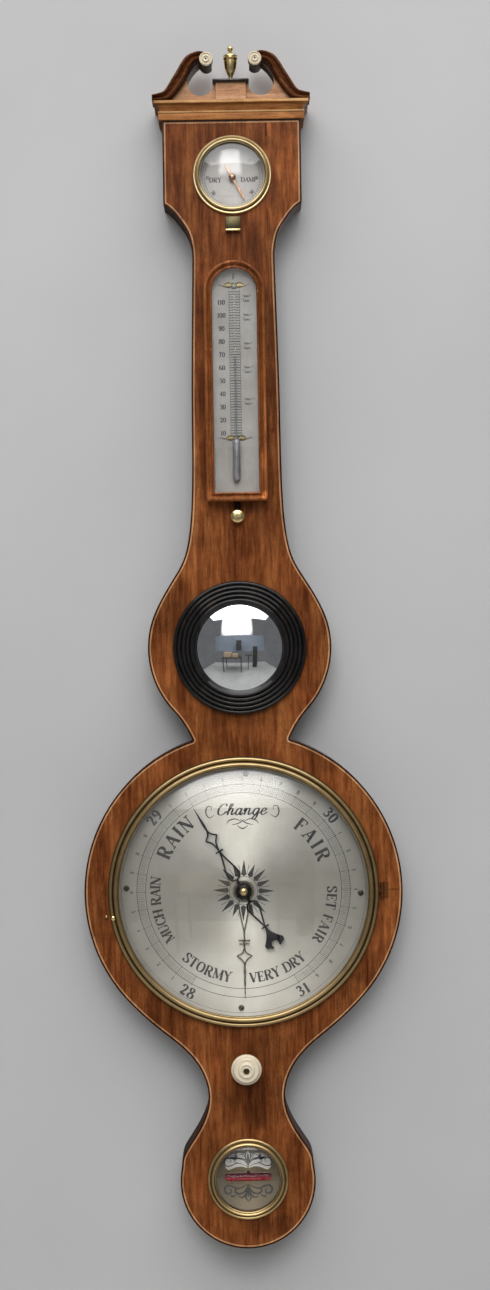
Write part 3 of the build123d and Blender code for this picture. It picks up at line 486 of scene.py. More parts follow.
def silvered(name, height, base, dirt, metallic, rough=0.38):
    """Silvered brass, brushed in circles, with brown spots and a soft cloudy tarnish."""
    paint = Paint(name, Metallic=metallic, Anisotropic=0.8, Anisotropic_Rotation=0.25, Specular_IOR_Level=0.3)
    r = paint.radius(height)
    lines = paint.noise(6.0, 3, 0.6, vector=paint.line(r))
    cloud = paint.noise(0.035, 5, 0.6)
    spots = paint.noise(0.9, 4, 0.7)
    colour = paint.mix(paint.ramp(cloud, (0.35, 0.0), (0.75, 0.8)), base, dirt)
    colour = paint.shade(0.35, colour, lines, (0.3, 0.82), (0.7, 1.08))
    colour = paint.shade(0.6, colour, spots, (0.28, 0.55), (0.36, 1.0))
    paint.set("Base Color", colour)
    paint.set("Roughness", paint.ramp(lines, (0.3, rough), (0.7, rough + 0.1)))
    tangent = paint.put("ShaderNodeTangent", direction_type="RADIAL", axis="Y")
    paint.set("Tangent", tangent.outputs[0])
    paint.bump(lines, 0.01, 0.25)
    return paint.material


# Patches of tone and narrow marks in the veneer, placed in millimetres.
VENEER_TONES = (
    (44, 560, 15, 70, 1.35), (-40, 560, 18, 60, 0.95), (14, 522, 16, 30, 0.8), (31, 430, 9, 80, 0.75),
    (-46, 215, 20, 60, 0.8), (50, 190, 20, 70, 1.3), (0, 126, 40, 14, 1.25), (-116, -18, 10, 40, 0.75),
    (117, -34, 9, 34, 1.3), (117, 24, 8, 22, 0.75), (88, -79, 14, 14, 1.3), (-24, -160, 9, 60, 1.35),
    (8, -175, 16, 40, 0.7), (26, -158, 12, 16, 0.6), (-38, -225, 9, 40, 1.2), (20, -268, 34, 16, 0.55))
VENEER_LINES = (
    (27.2, 28.2, 604.0, 618.0, 0.12), (27.4, 27.9, 492.0, 545.0, 0.5), (28.2, 31.5, 604.0, 616.0, 1.5),
    (112.0, 125.0, -0.4, 0.4, 0.45), (-38.0, -37.4, -240.0, -196.0, 0.6))
# Bright patches on the thermometer frame at the top of the arch and on the rails: painted highlights where
# the rounded rails catch the light.
RAIL_HIGHLIGHTS = ((22, 316, 4, 5, 2.6), (21.5, 345, 4, 14, 1.7), (-22, 318, 4, 8, 1.5), (0, 500, 14, 5, 1.3))

MAHOGANY = wood("mahogany_case", (0.040, 0.010, 0.003), (0.09, 0.024, 0.007), (0.16, 0.052, 0.016),
                coat=0.0, sides=0.3)
VENEER = wood("mahogany_veneer", (0.075, 0.018, 0.005), (0.17, 0.050, 0.014), (0.30, 0.108, 0.032),
              sides=0.4, coat=0.0, shine=0.05, tones=VENEER_TONES, lines=VENEER_LINES)
PANEL = wood("mahogany_panel", (0.28, 0.13, 0.06), (0.48, 0.25, 0.13), (0.66, 0.40, 0.24),
             along=0, figure=0.6, coat=0.0, sides=0.12)
OAK = wood("oak_back", (0.10, 0.055, 0.026), (0.20, 0.115, 0.055), (0.30, 0.19, 0.10), gloss=0.55)
BOXWOOD = wood("boxwood_line", (0.26, 0.115, 0.05), (0.42, 0.20, 0.09), (0.58, 0.31, 0.15), figure=0.5)
ARRIS = wood("darkened_arris", (0.010, 0.003, 0.001), (0.022, 0.007, 0.003), (0.05, 0.016, 0.006), figure=0.6)
NECK = wood("swan_neck_wood", (0.045, 0.012, 0.004), (0.11, 0.034, 0.011), (0.22, 0.085, 0.032),
            along=0, figure=0.7)
MOULDING = wood("moulding_wood", (0.17, 0.058, 0.015), (0.37, 0.145, 0.042), (0.58, 0.26, 0.09),
                along=0, figure=0.7, coat=0.0, sides=0.45)
# Pale wood for the cornice's top fillet and bead: painted highlights where the light from above catches them.
FILLET_HIGHLIGHT = wood("fillet_painted_highlight", (0.36, 0.19, 0.075), (0.55, 0.32, 0.14), (0.70, 0.46, 0.24),
              along=0, figure=0.6, coat=0.0, sides=0.5)
RAIL = wood("thermometer_rail", (0.10, 0.030, 0.009), (0.22, 0.070, 0.020), (0.38, 0.14, 0.05),
            wear=(0.0, (0.55, 0.32, 0.16)), tones=RAIL_HIGHLIGHTS)
EBONY = wood("ebonised_wood", (0.004, 0.004, 0.004), (0.009, 0.008, 0.008), (0.02, 0.015, 0.012),
             coat=0.5, wear=(-0.03, (0.07, 0.028, 0.016)))
BRASS = metal("brass_aged", (0.60, 0.43, 0.19), (0.26, 0.17, 0.07))
BRASS_BRIGHT = metal("brass_bright", (0.80, 0.62, 0.30), (0.45, 0.31, 0.13), rough=0.22, share=0.35)
TONED = metal("toned_brass", (0.20, 0.075, 0.026), (0.09, 0.032, 0.012), rough=0.45)
OLIVE = metal("brass_olive", (0.09, 0.072, 0.038), (0.045, 0.037, 0.02), rough=0.34)
CLIP = metal("leaf_clip_brass", (0.36, 0.29, 0.13), (0.15, 0.115, 0.05), rough=0.25)
STEEL = metal("plain_steel", (0.50, 0.49, 0.48), (0.18, 0.14, 0.11))
BLUED = metal("blued_steel", (0.022, 0.024, 0.030), (0.035, 0.028, 0.026), rough=0.3)
COPPER = metal("gilt_copper", (0.42, 0.23, 0.13), (0.22, 0.11, 0.06), rough=0.25, share=0.3)
SET_BRASS = metal("set_hand_brass", (0.34, 0.31, 0.23), (0.13, 0.11, 0.08), rough=0.25)
MERCURY = metal("mercury", (0.62, 0.63, 0.65), (0.52, 0.53, 0.55), rough=0.12, share=0.2, dents=0.002)
BOSS = metal("black_boss", (0.012, 0.012, 0.013), (0.03, 0.026, 0.022), rough=0.25)
BEZEL_BRASS = ringed("bezel_brass", 0, (104.3, 107.9, 100.2), (0.39, 0.285, 0.14), (0.19, 0.125, 0.055))
HYGRO_BRASS = ringed("hygrometer_brass", HYGRO_H, (29.0, 26.6), (0.80, 0.64, 0.36), (0.38, 0.27, 0.12))
LEVEL_BRASS = ringed("level_brass", LEVEL_H, (29.6, 26.9), (0.50, 0.36, 0.17), (0.26, 0.17, 0.07))
DIAL = silvered("dial_silver", 0, (0.50, 0.485, 0.43), (0.40, 0.37, 0.31), 0.8)
HYGRO_DIAL = silvered("hygrometer_silver", HYGRO_H, (0.38, 0.365, 0.35), (0.32, 0.30, 0.28), 0.2, 0.5)
LEVEL_DIAL = silvered("level_silver", LEVEL_H, (0.20, 0.155, 0.09), (0.13, 0.10, 0.055), 0.5, 0.4)
# Bright silver for the upper leaves of the level's scrolls: painted reflection.
LEAF_REFLECTION = silvered("leaf_painted_reflection", LEVEL_H, (0.62, 0.60, 0.56), (0.48, 0.46, 0.42), 0.2, 0.5)


def scale_silver():
    """The thermometer's plate: brushed along its length, greyer in soft clouds."""
    paint = Paint("scale_silver", Metallic=0.15, Specular_IOR_Level=0.25)
    lines = paint.noise(2.0, 4, 0.6, stretch=(1, 1, 0.03))
    cloud = paint.noise(0.05, 5, 0.6)
    colour = paint.mix(paint.ramp(cloud, (0.35, 0.0), (0.7, 0.8)), (0.25, 0.242, 0.225), (0.19, 0.178, 0.16))
    colour = paint.shade(0.5, colour, lines, (0.3, 0.8), (0.7, 1.1))
    paint.set("Base Color", colour)
    paint.set("Roughness", paint.ramp(lines, (0.3, 0.5), (0.7, 0.62)))
    paint.bump(lines, 0.01, 0.3)
    return paint.material


def flecked(name, grain, stops, grit, bump, stretch=None, **sockets):
    """A plain colour that wanders with one noise, and a fine grit or the same noise raised."""
    paint = Paint(name, **sockets)
    pattern = paint.noise(*grain, stretch=stretch)
    paint.set("Base Color", paint.ramp(pattern, *stops))
    paint.bump(paint.noise(*grit) if grit else pattern, *bump)
    return paint.material


def bone(name, height, across):
    """Turned bone: fine lathe rings, pale brown in the low places."""
    paint = Paint(name, Subsurface_Weight=0.15, Roughness=0.4, Coat_Weight=0.3, Coat_Roughness=0.2,
                  Specular_IOR_Level=0.45)
    paint.shader.inputs["Subsurface Radius"].default_value = (0.004, 0.003, 0.002)
    r = paint.radius(height, across)
    rings = paint.noise(1.6, 2, 0.5, vector=paint.line(r))
    flecks = paint.noise(1.1, 4, 0.7)
    colour = paint.ramp(rings, (0.35, (0.52, 0.43, 0.29)), (0.6, (0.80, 0.72, 0.56)))
    colour = paint.shade(0.35, colour, flecks, (0.3, 0.75), (0.6, 1.05))
    paint.set("Base Color", colour)
    paint.bump(rings, 0.06, 0.5)
    return paint.material


def clear_glass(name, tint=(1.0, 1.0, 1.0), bend=1.5):
    paint = Paint(name, Transmission_Weight=1.0, IOR=bend, Roughness=0.0, Base_Color=(*tint, 1))
    ripple = paint.noise(0.02, 2, 0.4)
    paint.bump(ripple, 0.06, 0.3)
    paint.set("Roughness", paint.ramp(paint.noise(0.3, 3), (0.45, 0.0), (0.8, 0.02)))
    return paint.glass().material


def mirror_silver():
    paint = Paint("mirror_silver", Metallic=1.0)
    cloud = paint.noise(0.12, 4, 0.6)
    spots = paint.noise(1.0, 5, 0.7)
    colour = paint.ramp(cloud, (0.3, (0.60, 0.63, 0.66)), (0.7, (0.74, 0.76, 0.78)))
    colour = paint.shade(0.7, colour, spots, (0.27, 0.3), (0.33, 1.0))
    paint.set("Base Color", colour)
    paint.set("Roughness", paint.ramp(spots, (0.3, 0.09), (0.5, 0.03)))
    return paint.material


def red_spirit():
    """Deep red spirit, its colour set by height: nearly black above as painted shade, and glowing in the
    lower half as painted light where light gathers.
    """
    paint = Paint("red_spirit", Transmission_Weight=0.1, Roughness=0.12, IOR=1.3, Specular_IOR_Level=0.3)
    cloud = paint.noise(0.08, 3)
    # Painted light and shade: the colour follows height in the vial.
    depth = paint.math("DIVIDE", paint.math("SUBTRACT", paint.axis(2), LEVEL_H - 2.6), 5.2)
    colour = paint.ramp(depth, (0.1, (0.30, 0.004, 0.012)), (0.35, (0.42, 0.006, 0.014)),
                        (0.55, (0.12, 0.002, 0.010)), (0.9, (0.05, 0.001, 0.006)))
    paint.set("Base Color", paint.shade(0.6, colour, cloud, (0.3, 0.55), (0.7, 1.2)))
    return paint.glass().material


# Black wax worn thin in places, and engraving from which most of the wax has gone.
INK = flecked("engraving_wax", (0.22, 4, 0.6), ((0.35, (0.010, 0.010, 0.009)), (0.8, (0.05, 0.046, 0.04))),
              (3.0, 2), (0.01, 0.4), Roughness=0.55, Specular_IOR_Level=0.3)
FAINT = flecked("engraving_faint", (0.3, 4, 0.6), ((0.35, (0.06, 0.055, 0.05)), (0.75, (0.15, 0.14, 0.125))),
                (3.0, 2), (0.01, 0.4), Roughness=0.5, Metallic=0.2, Specular_IOR_Level=0.3)
GLASS = clear_glass("window_glass")
VIAL_GLASS = clear_glass("vial_glass", (0.95, 1.0, 0.98), bend=1.22)
SPIRIT = red_spirit()
FLUID = flecked("thermometer_fluid", (0.2, 3), ((0.3, (0.15, 0.15, 0.16)), (0.7, (0.28, 0.28, 0.29))),
                (0.8, 2), (0.02, 0.3), Metallic=0.6, Roughness=0.25)
SCALE = scale_silver()
MIRROR = mirror_silver()
CORK = flecked("cork", (1.2, 5, 0.7), ((0.3, (0.16, 0.085, 0.04)), (0.65, (0.42, 0.27, 0.15))),
               None, (0.2, 0.6), Roughness=0.85)
SILK = flecked("silk_cord", (3.0, 2, 0.5), ((0.3, (0.10, 0.06, 0.03)), (0.7, (0.24, 0.16, 0.08))),
               None, (0.08, 0.6), stretch=(1, 1, 0.6), Roughness=0.6, Sheen_Weight=0.4)
KNOB_BONE = bone("bone_knob", KNOB_H, 0)
ROSETTE_BONE = [bone("bone_left", ROSETTE_H, -ROSETTE_X), bone("bone_right", ROSETTE_H, ROSETTE_X)]

CAD_PAINTS = {
    "case_body": MAHOGANY, "front_veneer": VENEER, "stringing": BOXWOOD, "cornice_moulding": MOULDING,
    "pediment_panel": PANEL, "swan_necks": NECK, "plinth_cap": EBONY, "hanging_plate": BRASS,
    "back_screws": STEEL, "hinge_leaves": TONED, "hinge_pins": TONED, "back_door": OAK,
    "door_hinge_straps": BRASS, "door_button": BRASS, "dial_plate": DIAL, "bezel_hinge_strap": TONED,
    "bezel_catch_pin": BRASS, "arbor": STEEL, "bridge": BRASS, "set_hand_pulley": BRASS,
    "knob_spindle": BRASS, "drive_cord": SILK, "siphon_tube": GLASS, "mercury_column": MERCURY,
    "short_limb_mercury": MERCURY, "tube_saddles": CORK, "float_weight": STEEL, "float_thread": SILK,
    "counterweight": STEEL, "counterweight_thread": SILK, "hygrometer_plate": HYGRO_DIAL,
    "hygrometer_catch": OLIVE, "thermometer_box": RAIL, "thermometer_pane": GLASS,
    "thermometer_scale": SCALE, "thermometer_mercury": FLUID, "leaf_clips": CLIP,
    "level_plate": LEVEL_DIAL,
}
for node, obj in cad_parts.items():
    obj.data.materials.clear()
    obj.data.materials.append(CAD_PAINTS.get(node, BRASS))


# ---------------------------------------------------------------- case


def outer_loop(node, y):
    """The outline of a CAD node's flat front, as (x, height) points in order."""
    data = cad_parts[node].data

    def key(v):
        co = data.vertices[v].co
        return (round(co.x * 1e6), round(co.z * 1e6))

    edges = {}
    for polygon in data.polygons:
        if all(abs(data.vertices[v].co.y - y * MM) < 2e-5 for v in polygon.vertices):
            ids = [key(v) for v in polygon.vertices]
            edges.update(dict.fromkeys(zip(ids, ids[1:] + ids[:1])))
    after = {}
    for a, b in edges:
        if (b, a) not in edges:
            after.setdefault(a, b)
    loops = []
    while after:
        loop, here = [], next(iter(after))
        while here in after:
            loop.append(here)
            here = after.pop(here)
        loops.append(loop)
    loop = max(loops, key=lambda l: max(p[0] for p in l) - min(p[0] for p in l))
    return [(x / 1000 - ORIGIN.x * 1000, z / 1000 - ORIGIN.z * 1000) for x, z in loop]


def corner_aware(points):
    """Smooths an outline between its corners, which turn by more than the limit."""
    steps, limit = 3, 22.0
    points = [p for i, p in enumerate(points) if math.dist(p, points[i - 1]) > 0.4]
    count = len(points)
    corners = []
    for i in range(count):
        a, b, c = points[i - 1], points[i], points[(i + 1) % count]
        u = (b[0] - a[0], b[1] - a[1])
        v = (c[0] - b[0], c[1] - b[1])
        turn = math.degrees(math.atan2(u[0] * v[1] - u[1] * v[0], u[0] * v[0] + u[1] * v[1]))
        if abs(turn) > limit:
            corners.append(i)
    line = []
    for k, start in enumerate(corners):
        end = corners[(k + 1) % len(corners)]
        length = (end - start) % count or count
        part = [points[(start + i) % count] for i in range(length + 1)]
        line += smooth_line(part, steps)[:-1]
    return line


def signed_area(points):
    return 0.5 * sum(a[0] * b[1] - b[0] * a[1] for a, b in zip(points, points[1:] + points[:1]))


STRING_INSET, STRING_WIDTH = 1.3, 1.3


def stringing():
    """Thin boxwood line let into the front all the way round, inside a narrow border."""
    outline = outer_loop("stringing", FACE)
    if signed_area(outline) < 0:
        outline.reverse()
    outline = corner_aware(outline)

    def band(start, end, front):
        outer = offset_line(outline, start, True)
        inner = offset_line(outline, end, True)
        rings = []
        for (ax, ah), (bx, bh) in zip(outer, inner):
            rings.append([(ax, FACE + 0.5, ah), (ax, front, ah), (bx, front, bh), (bx, FACE + 0.5, bh)])
        return rings

    line = Shape().loft(band(0.0, STRING_WIDTH, FACE - 0.04), closed=True)
    line.done("boxwood_line", BOXWOOD, "case", ("stringing",), "boxwood")
    edge = Shape().loft(band(0.03 - STRING_INSET, 0.0, FACE - 0.03), closed=True)
    edge.loft(band(STRING_WIDTH, STRING_WIDTH + 0.3, FACE - 0.02), closed=True)
    edge.done("darkened_arris", ARRIS, "case", (), "mahogany")


stringing()


def cornice():
    """Ovolo, bead, cavetto and fillet run along the front and mitred round the sides."""
    section = [(0.0, 617.6), (1.9, 617.6)]
    section += [(min(out, 2.95), h) for out, h in arc((1.9, 620.4), 2.8, -90, 90, 10)[1:]]
    section += arc((1.9, 624.2), 1.0, -90, 90, 8)[1:]
    section.append((1.9, 625.2))
    for a in (0.15, 0.4, 0.7, 1.0, 1.3):
        section.append((1.9 + 4.5 * (1 - math.cos(a)), 625.2 + 5.0 * math.sin(a)))
    section += [(6.15, 630.35), (6.4, 630.6), (6.4, 632.75), (6.2, 633.0), (0.0, 633.0)]
    half, front = 55.4, -31.0
    corners = ((-half, 0.0, -1, 0), (-half, front, -1, -1), (half, front, 1, -1), (half, 0.0, 1, 0))
    # The top fillet and the bead are thin shells in pale wood: painted highlights on the same moulding.
    top = [(5.0, 630.9), (6.36, 630.9), (6.43, 631.1), (6.43, 632.5), (6.2, 632.9), (5.0, 632.9)]
    bead = [(1.0, 623.5), (2.8, 623.5), (3.0, 624.0), (3.0, 624.5), (2.8, 624.9), (1.0, 624.9)]
    shape = Shape()
    for slot, outline in enumerate((section, top, bead)):
        rings = []
        for x, y, dx, dy in corners:
            rings.append([(x + dx * out, y + dy * out, h) for out, h in outline])
        shape.loft(rings, slot=min(1, slot))
    shape.done("cornice", [MOULDING, FILLET_HIGHLIGHT], "case", ("cornice_moulding",), "mahogany", crease=25)


cornice()


def swan_necks():
    """Two moulded S curves, fillet, dark cove and bead, running out behind the rosettes. Inside each
    runs a near-black band along the edge of its backing; a near-black disc behind each rosette is
    painted shade, the shadow ring round it."""
    upper = [(63.1, 637.5), (57.5, 638.8), (52.9, 641.0), (47.0, 650.0), (42.6, 657.1), (38.6, 663.7),
             (34.0, 668.7), (25.5, 671.7), (19.5, 670.3)]
    middle = [(63.1, 633.15), (55.5, 633.15), (49.2, 634.4), (43.2, 641.0), (38.4, 647.6), (35.0, 654.0),
              (32.6, 659.2), (29.2, 664.2), (22.0, 667.0)]
    lower = [(63.1, 633.1), (56.0, 633.1), (50.0, 633.2), (42.3, 641.0), (37.4, 647.7), (33.5, 653.0),
             (29.8, 658.6), (26.9, 661.5), (23.0, 664.5)]
    section = [(0.0, -30.0), (0.0, -37.3), (0.03, -37.8), (0.09, -38.0), (0.20, -37.9), (0.24, -37.2),
               (0.27, -36.2), (0.36, -35.0), (0.47, -34.6), (0.57, -35.0), (0.64, -35.9), (0.66, -36.5),
               (0.70, -37.0), (0.79, -37.4), (0.88, -37.0), (0.94, -36.2), (1.0, -35.2), (1.0, -30.0)]
    shape = Shape()
    for side in (1, -1):
        top, foot, edge = (smooth_line(line, 10) for line in (upper, middle, lower))
        rings, backing = [], []
        for (ax, ah), (bx, bh), (cx, ch) in zip(top, foot, edge):
            rings.append([(side * (ax + (bx - ax) * u), y, ah + (bh - ah) * u) for u, y in section])
            backing.append([(side * bx, -30.0, bh), (side * bx, -35.0, bh), (side * cx, -34.4, ch),
                            (side * cx, -30.0, ch)])
        shape.loft(rings)
        shape.loft(backing[20:], slot=1)
        # Near-black disc just wider than the rosette: painted shade, the shadow ring round it.
        disc = [(0, -30), (5.45, -30), (5.45, -35.4), (5.2, -35.9), (0, -36)]
        shape.lathe(disc, at=(side * ROSETTE_X, ROSETTE_H), steps=48, slot=1)
    shape.done("swan_neck_mouldings", [NECK, ARRIS], "case", ("swan_necks",), "mahogany", crease=28)


swan_necks()


def rosettes():
    section = [(0, -36.0), (5.3, -36.0), (5.3, -38.9), (5.1, -39.4), (4.7, -39.6), (4.3, -39.3),
               (4.0, -38.8), (3.6, -38.6), (3.2, -38.8), (2.9, -39.5), (2.6, -40.1), (2.2, -40.3),
               (1.8, -40.0), (1.5, -39.4), (1.1, -39.3), (0, -39.3)]
    pin = [(0, -39.0), (0.75, -39.0), (0.75, -39.6), (0.5, -39.9), (0, -40.0)]
    shape = Shape()
    for index, side in enumerate((-1, 1)):
        centre = (side * ROSETTE_X, ROSETTE_H)
        shape.lathe(section, at=centre, steps=64, slot=index)
        shape.lathe(pin, at=centre, steps=32, slot=2)
    shape.done("bone_rosettes", [*ROSETTE_BONE, OLIVE], "case", ("rosettes",), "bone", crease=40)


rosettes()


def finial():
    """Turned brass urn with a lid and a ball."""
    outline = [(2.6, 649.75), (2.75, 650.1), (2.6, 650.8), (1.9, 651.3), (1.5, 652.0), (1.6, 653.2),
               (2.0, 654.6), (2.9, 656.2), (3.9, 658.4), (4.7, 661.2), (5.1, 664.2), (5.3, 666.8),
               (5.35, 667.6), (5.8, 668.2), (5.8, 668.9), (5.45, 669.3), (5.45, 670.0), (5.8, 670.4),
               (5.7, 671.1), (4.9, 671.7), (3.6, 672.2), (2.3, 672.9), (1.4, 673.8), (1.1, 674.5)]
    section = [(0, 649.75)] + outline + arc((0, 676.7), 2.4, -62, 90, 14)
    section[-1] = (0, 679.1)
    Shape().lathe(section, steps=64, axis="Z", y=-24.0).done(
        "urn_finial", BRASS_BRIGHT, "case", ("finial",), "brass_bright", crease=38)


finial()


def plinth_cap():
    shape = Shape().box((-14.6, -37, 647.4), (14.6, -11, 649.6), 0.5)
    shape.done("plinth_cap_moulding", EBONY, "case", ("plinth_cap",), "ebonised")


plinth_cap()


# ---------------------------------------------------------------- round fittings


def cap(radius, rim_y, rise, steps):
    """The outside of a shallow spherical cap, from its crown to its rim."""
    sphere = (radius ** 2 + rise ** 2) / (2 * rise)
    points = []
    for r in (radius * i / steps for i in range(steps + 1)):
        points.append((r, rim_y - rise + sphere - math.sqrt(sphere ** 2 - r ** 2)))
    return points


def dome(radius, rim_radius, rim_y, rise, thickness, steps=28):
    """Section of a convex glass with a flat rim."""
    outside = cap(radius, rim_y, rise, steps)
    inside = [(r, y + thickness) for r, y in reversed(outside)]
    return outside + [(rim_radius, rim_y), (rim_radius, rim_y + thickness)] + inside


def main_bezel():
    """Cast ring: outer bead, hollow, raised roll and inner cove, with its pull stud."""
    section = [(108.5, -32.3), (108.5, -34.0)]
    section += [(108.35, -34.7), (107.9, -35.4), (107.75, -36.0), (107.4, -36.6), (106.8, -37.0),
                (106.1, -37.15), (105.4, -36.95), (104.95, -36.5), (104.7, -35.9), (104.4, -35.65),
                (104.2, -35.8), (104.05, -36.4), (103.9, -37.2), (103.6, -38.0), (103.1, -38.7),
                (102.5, -39.1), (101.9, -39.2), (101.3, -39.05), (100.8, -38.6), (100.5, -38.15),
                (100.2, -38.0), (99.8, -38.0), (99.5, -37.8), (99.4, -37.5), (99.4, -36.6), (102.0, -36.6),
                (102.0, -32.3)]
    shape = Shape().lathe(section, steps=288)
    x, h = polar(106.0, 259.7)
    stud = [(0, -35.0), (1.3, -35.0), (1.0, -36.0), (1.1, -36.9), (1.75, -37.4), (1.9, -38.1), (1.6, -38.8),
            (0.9, -39.15), (0, -39.2)]
    shape.lathe(stud, at=(x, h), steps=28, slot=1)
    shape.done("main_bezel", [BEZEL_BRASS, BRASS_BRIGHT], "bezel", ("dial_bezel",), "brass", crease=40)


main_bezel()
Shape().lathe(dome(98.0, 101.8, -36.5, 12.0, 2.0, 40), steps=128).done(
    "main_glass", GLASS, "bezel", ("dial_glass",), "glass_clear", crease=40)


def small_bezel_section(outer, opening, front):
    """Bead, hollow and raised roll; shares run across the ring, and the roll is set by its front."""
    bead = ((0.0, 0.0), (0.0, 1.2), (0.02, 1.9), (0.08, 2.6), (0.17, 3.05), (0.27, 3.05), (0.35, 2.7),
            (0.40, 2.2), (0.45, 2.3), (0.49, 3.2))
    roll = ((0.54, 0.5), (0.61, -0.05), (0.70, -0.3), (0.79, -0.1), (0.85, 0.5), (0.89, 0.8), (0.96, 0.9),
            (1.0, 1.2), (1.0, 2.0))
    lip = opening + 1.2
    section = [(outer - share * (outer - opening), FACE - up) for share, up in bead]
    section += [(outer - share * (outer - opening), front + down) for share, down in roll]
    return section + [(lip, front + 2.0), (lip, FACE)]


def window(name, height, brass, ring, glass):
    """A small bezel and the convex glass in it."""
    Shape().lathe(small_bezel_section(*ring), at=(0, height), steps=160).done(
        name + "_ring", brass, "case", (name + "_bezel",), "brass", crease=40)
    Shape().lathe(dome(*glass), at=(0, height), steps=96).done(
        name + "_window", GLASS, "case", (name + "_glass",), "glass_clear", crease=40)


window("hygrometer", HYGRO_H, HYGRO_BRASS, (31.7, 25.9, -37.4), (25.6, 27.0, -35.3, 5.0, 1.4))
window("level", LEVEL_H, LEVEL_BRASS, (32.6, 26.1, -36.6), (25.8, 27.2, -34.5, 4.0, 1.4))


def mirror():
    """Ebonised frame with five soft reeds that rise towards the convex glass."""
    reed_width, step = 3.45, 1.35
    swell = ((0.02, 0.2), (0.12, 1.0), (0.28, 1.65), (0.46, 1.9), (0.64, 1.75), (0.82, 1.15), (0.94, 0.5))
    section = [(53.5, FACE), (53.5, -34.3)]
    for reed in range(5):
        for share, lift in swell:
            section.append((53.3 - reed_width * reed - reed_width * share, -35.4 - step * reed - lift))
    section += [(35.7, -41.2), (34.95, -40.9), (34.9, -40.4), (34.9, -39.2), (37.2, -39.2), (37.2, FACE)]
    Shape().lathe(section, at=(0, MIRROR_H), steps=160).done(
        "mirror_ring", EBONY, "case", ("mirror_frame",), "ebonised", crease=50)
    front = cap(34.7, -39.5, 7.0, 24)
    section = front + [(34.7, -39.1), (37.0, -39.1), (37.0, FACE - 0.1), (0, FACE - 0.1)]
    Shape().lathe(section, at=(0, MIRROR_H), steps=128).done(
        "mirror_bowl", MIRROR, "case", ("mirror_glass",), "mirror_silver", crease=40)


mirror()


def set_knob():
    section = [(0, -43.05), (1.5, -43.05), (1.7, -43.3), (2.1, -43.35), (2.5, -43.1), (2.8, -42.6),
               (3.1, -42.35), (3.6, -42.4), (4.1, -42.8), (4.7, -43.1), (5.3, -43.1), (5.8, -42.8),
               (6.2, -42.3), (6.6, -41.8), (7.1, -41.6), (7.8, -41.7), (8.6, -41.85), (9.3, -41.7),
               (9.9, -41.2), (10.4, -40.4), (10.8, -39.6), (11.4, -38.9), (12.0, -38.3), (12.2, -37.6),
               (12.2, -36.2), (11.9, -35.6), (11.0, -34.9), (9.6, -34.2), (8.4, -33.7), (8.0, -33.3),
               (8.0, -32.4), (0, -32.4)]
    shape = Shape().lathe(section, at=(0, KNOB_H), steps=96)
    shape.lathe([(0, -42.0), (2.5, -42.0), (2.5, -43.25), (2.1, -43.45), (0, -43.5)], at=(0, KNOB_H),
                steps=32, slot=1)
    shape.done("bone_knob", [KNOB_BONE, OLIVE], "knob", ("set_knob",), "bone", crease=50)


set_knob()


def lock_knob():
    """Small brass knob under the thermometer, its tongue behind the sill."""
    section = [(0, -40.75), (1.6, -40.8), (3.0, -40.65), (4.2, -40.35), (5.1, -39.8), (5.6, -39.1),
               (5.7, -38.4), (5.6, -37.7), (5.0, -37.0), (4.1, -36.3), (3.2, -35.8), (2.7, -35.3),
               (2.6, -34.4), (2.6, -33.5), (4.6, -33.5), (4.6, -32.4), (1.5, -32.4), (1.5, -27.0),
               (0, -27.0)]
    shape = Shape().lathe(section, at=(0, LOCK_H), steps=48)
    shape.box((-2.5, -33.5, LOCK_H), (2.5, -32.4, LOCK_H + 16.0), 0.3, slot=1)
    shape.done("lock_knob", [BRASS_BRIGHT, ARRIS], "thermometer_latch", ("thermometer_knob",),
               "brass_bright", crease=45)


lock_knob()


def screw_heads():
    """Domed heads with a filed slot, holding the dial."""
    shape = Shape()
    for turn, angle in zip((20, 75, 130, 160), (2, 92, 182, 272)):
        x, h = polar(94.0, angle)
        rise = [(0, -0.1), (2.4, -0.1), (2.4, 0), (2.4, 0.35), (2.2, 0.65), (1.7, 0.88), (1, 0.98), (0, 1)]
        shape.lathe([(r, DIAL_FRONT - up) for r, up in rise], at=(x, h), steps=28)
        c, s = math.cos(math.radians(turn)), math.sin(math.radians(turn))
        line = [(x - 2.1 * c, h - 2.1 * s), (x + 2.1 * c, h + 2.1 * s)]
        shape.strip(line, 0.45, DIAL_FRONT - 0.7, DIAL_FRONT - 1.0, slot=1)
    shape.done("dial_screw_heads", [OLIVE, BOSS], "case", ("dial_screws",), "brass", crease=40)


screw_heads()


# ---------------------------------------------------------------- hands


def both_sides(shape, points, width, back, front, bevel, steps):
    """A smooth bar and its mirror image."""
    for side in (1, -1):
        line = smooth_line([(side * x, h) for x, h in points], steps)
        shape.strip(line, width, back, front, bevel)


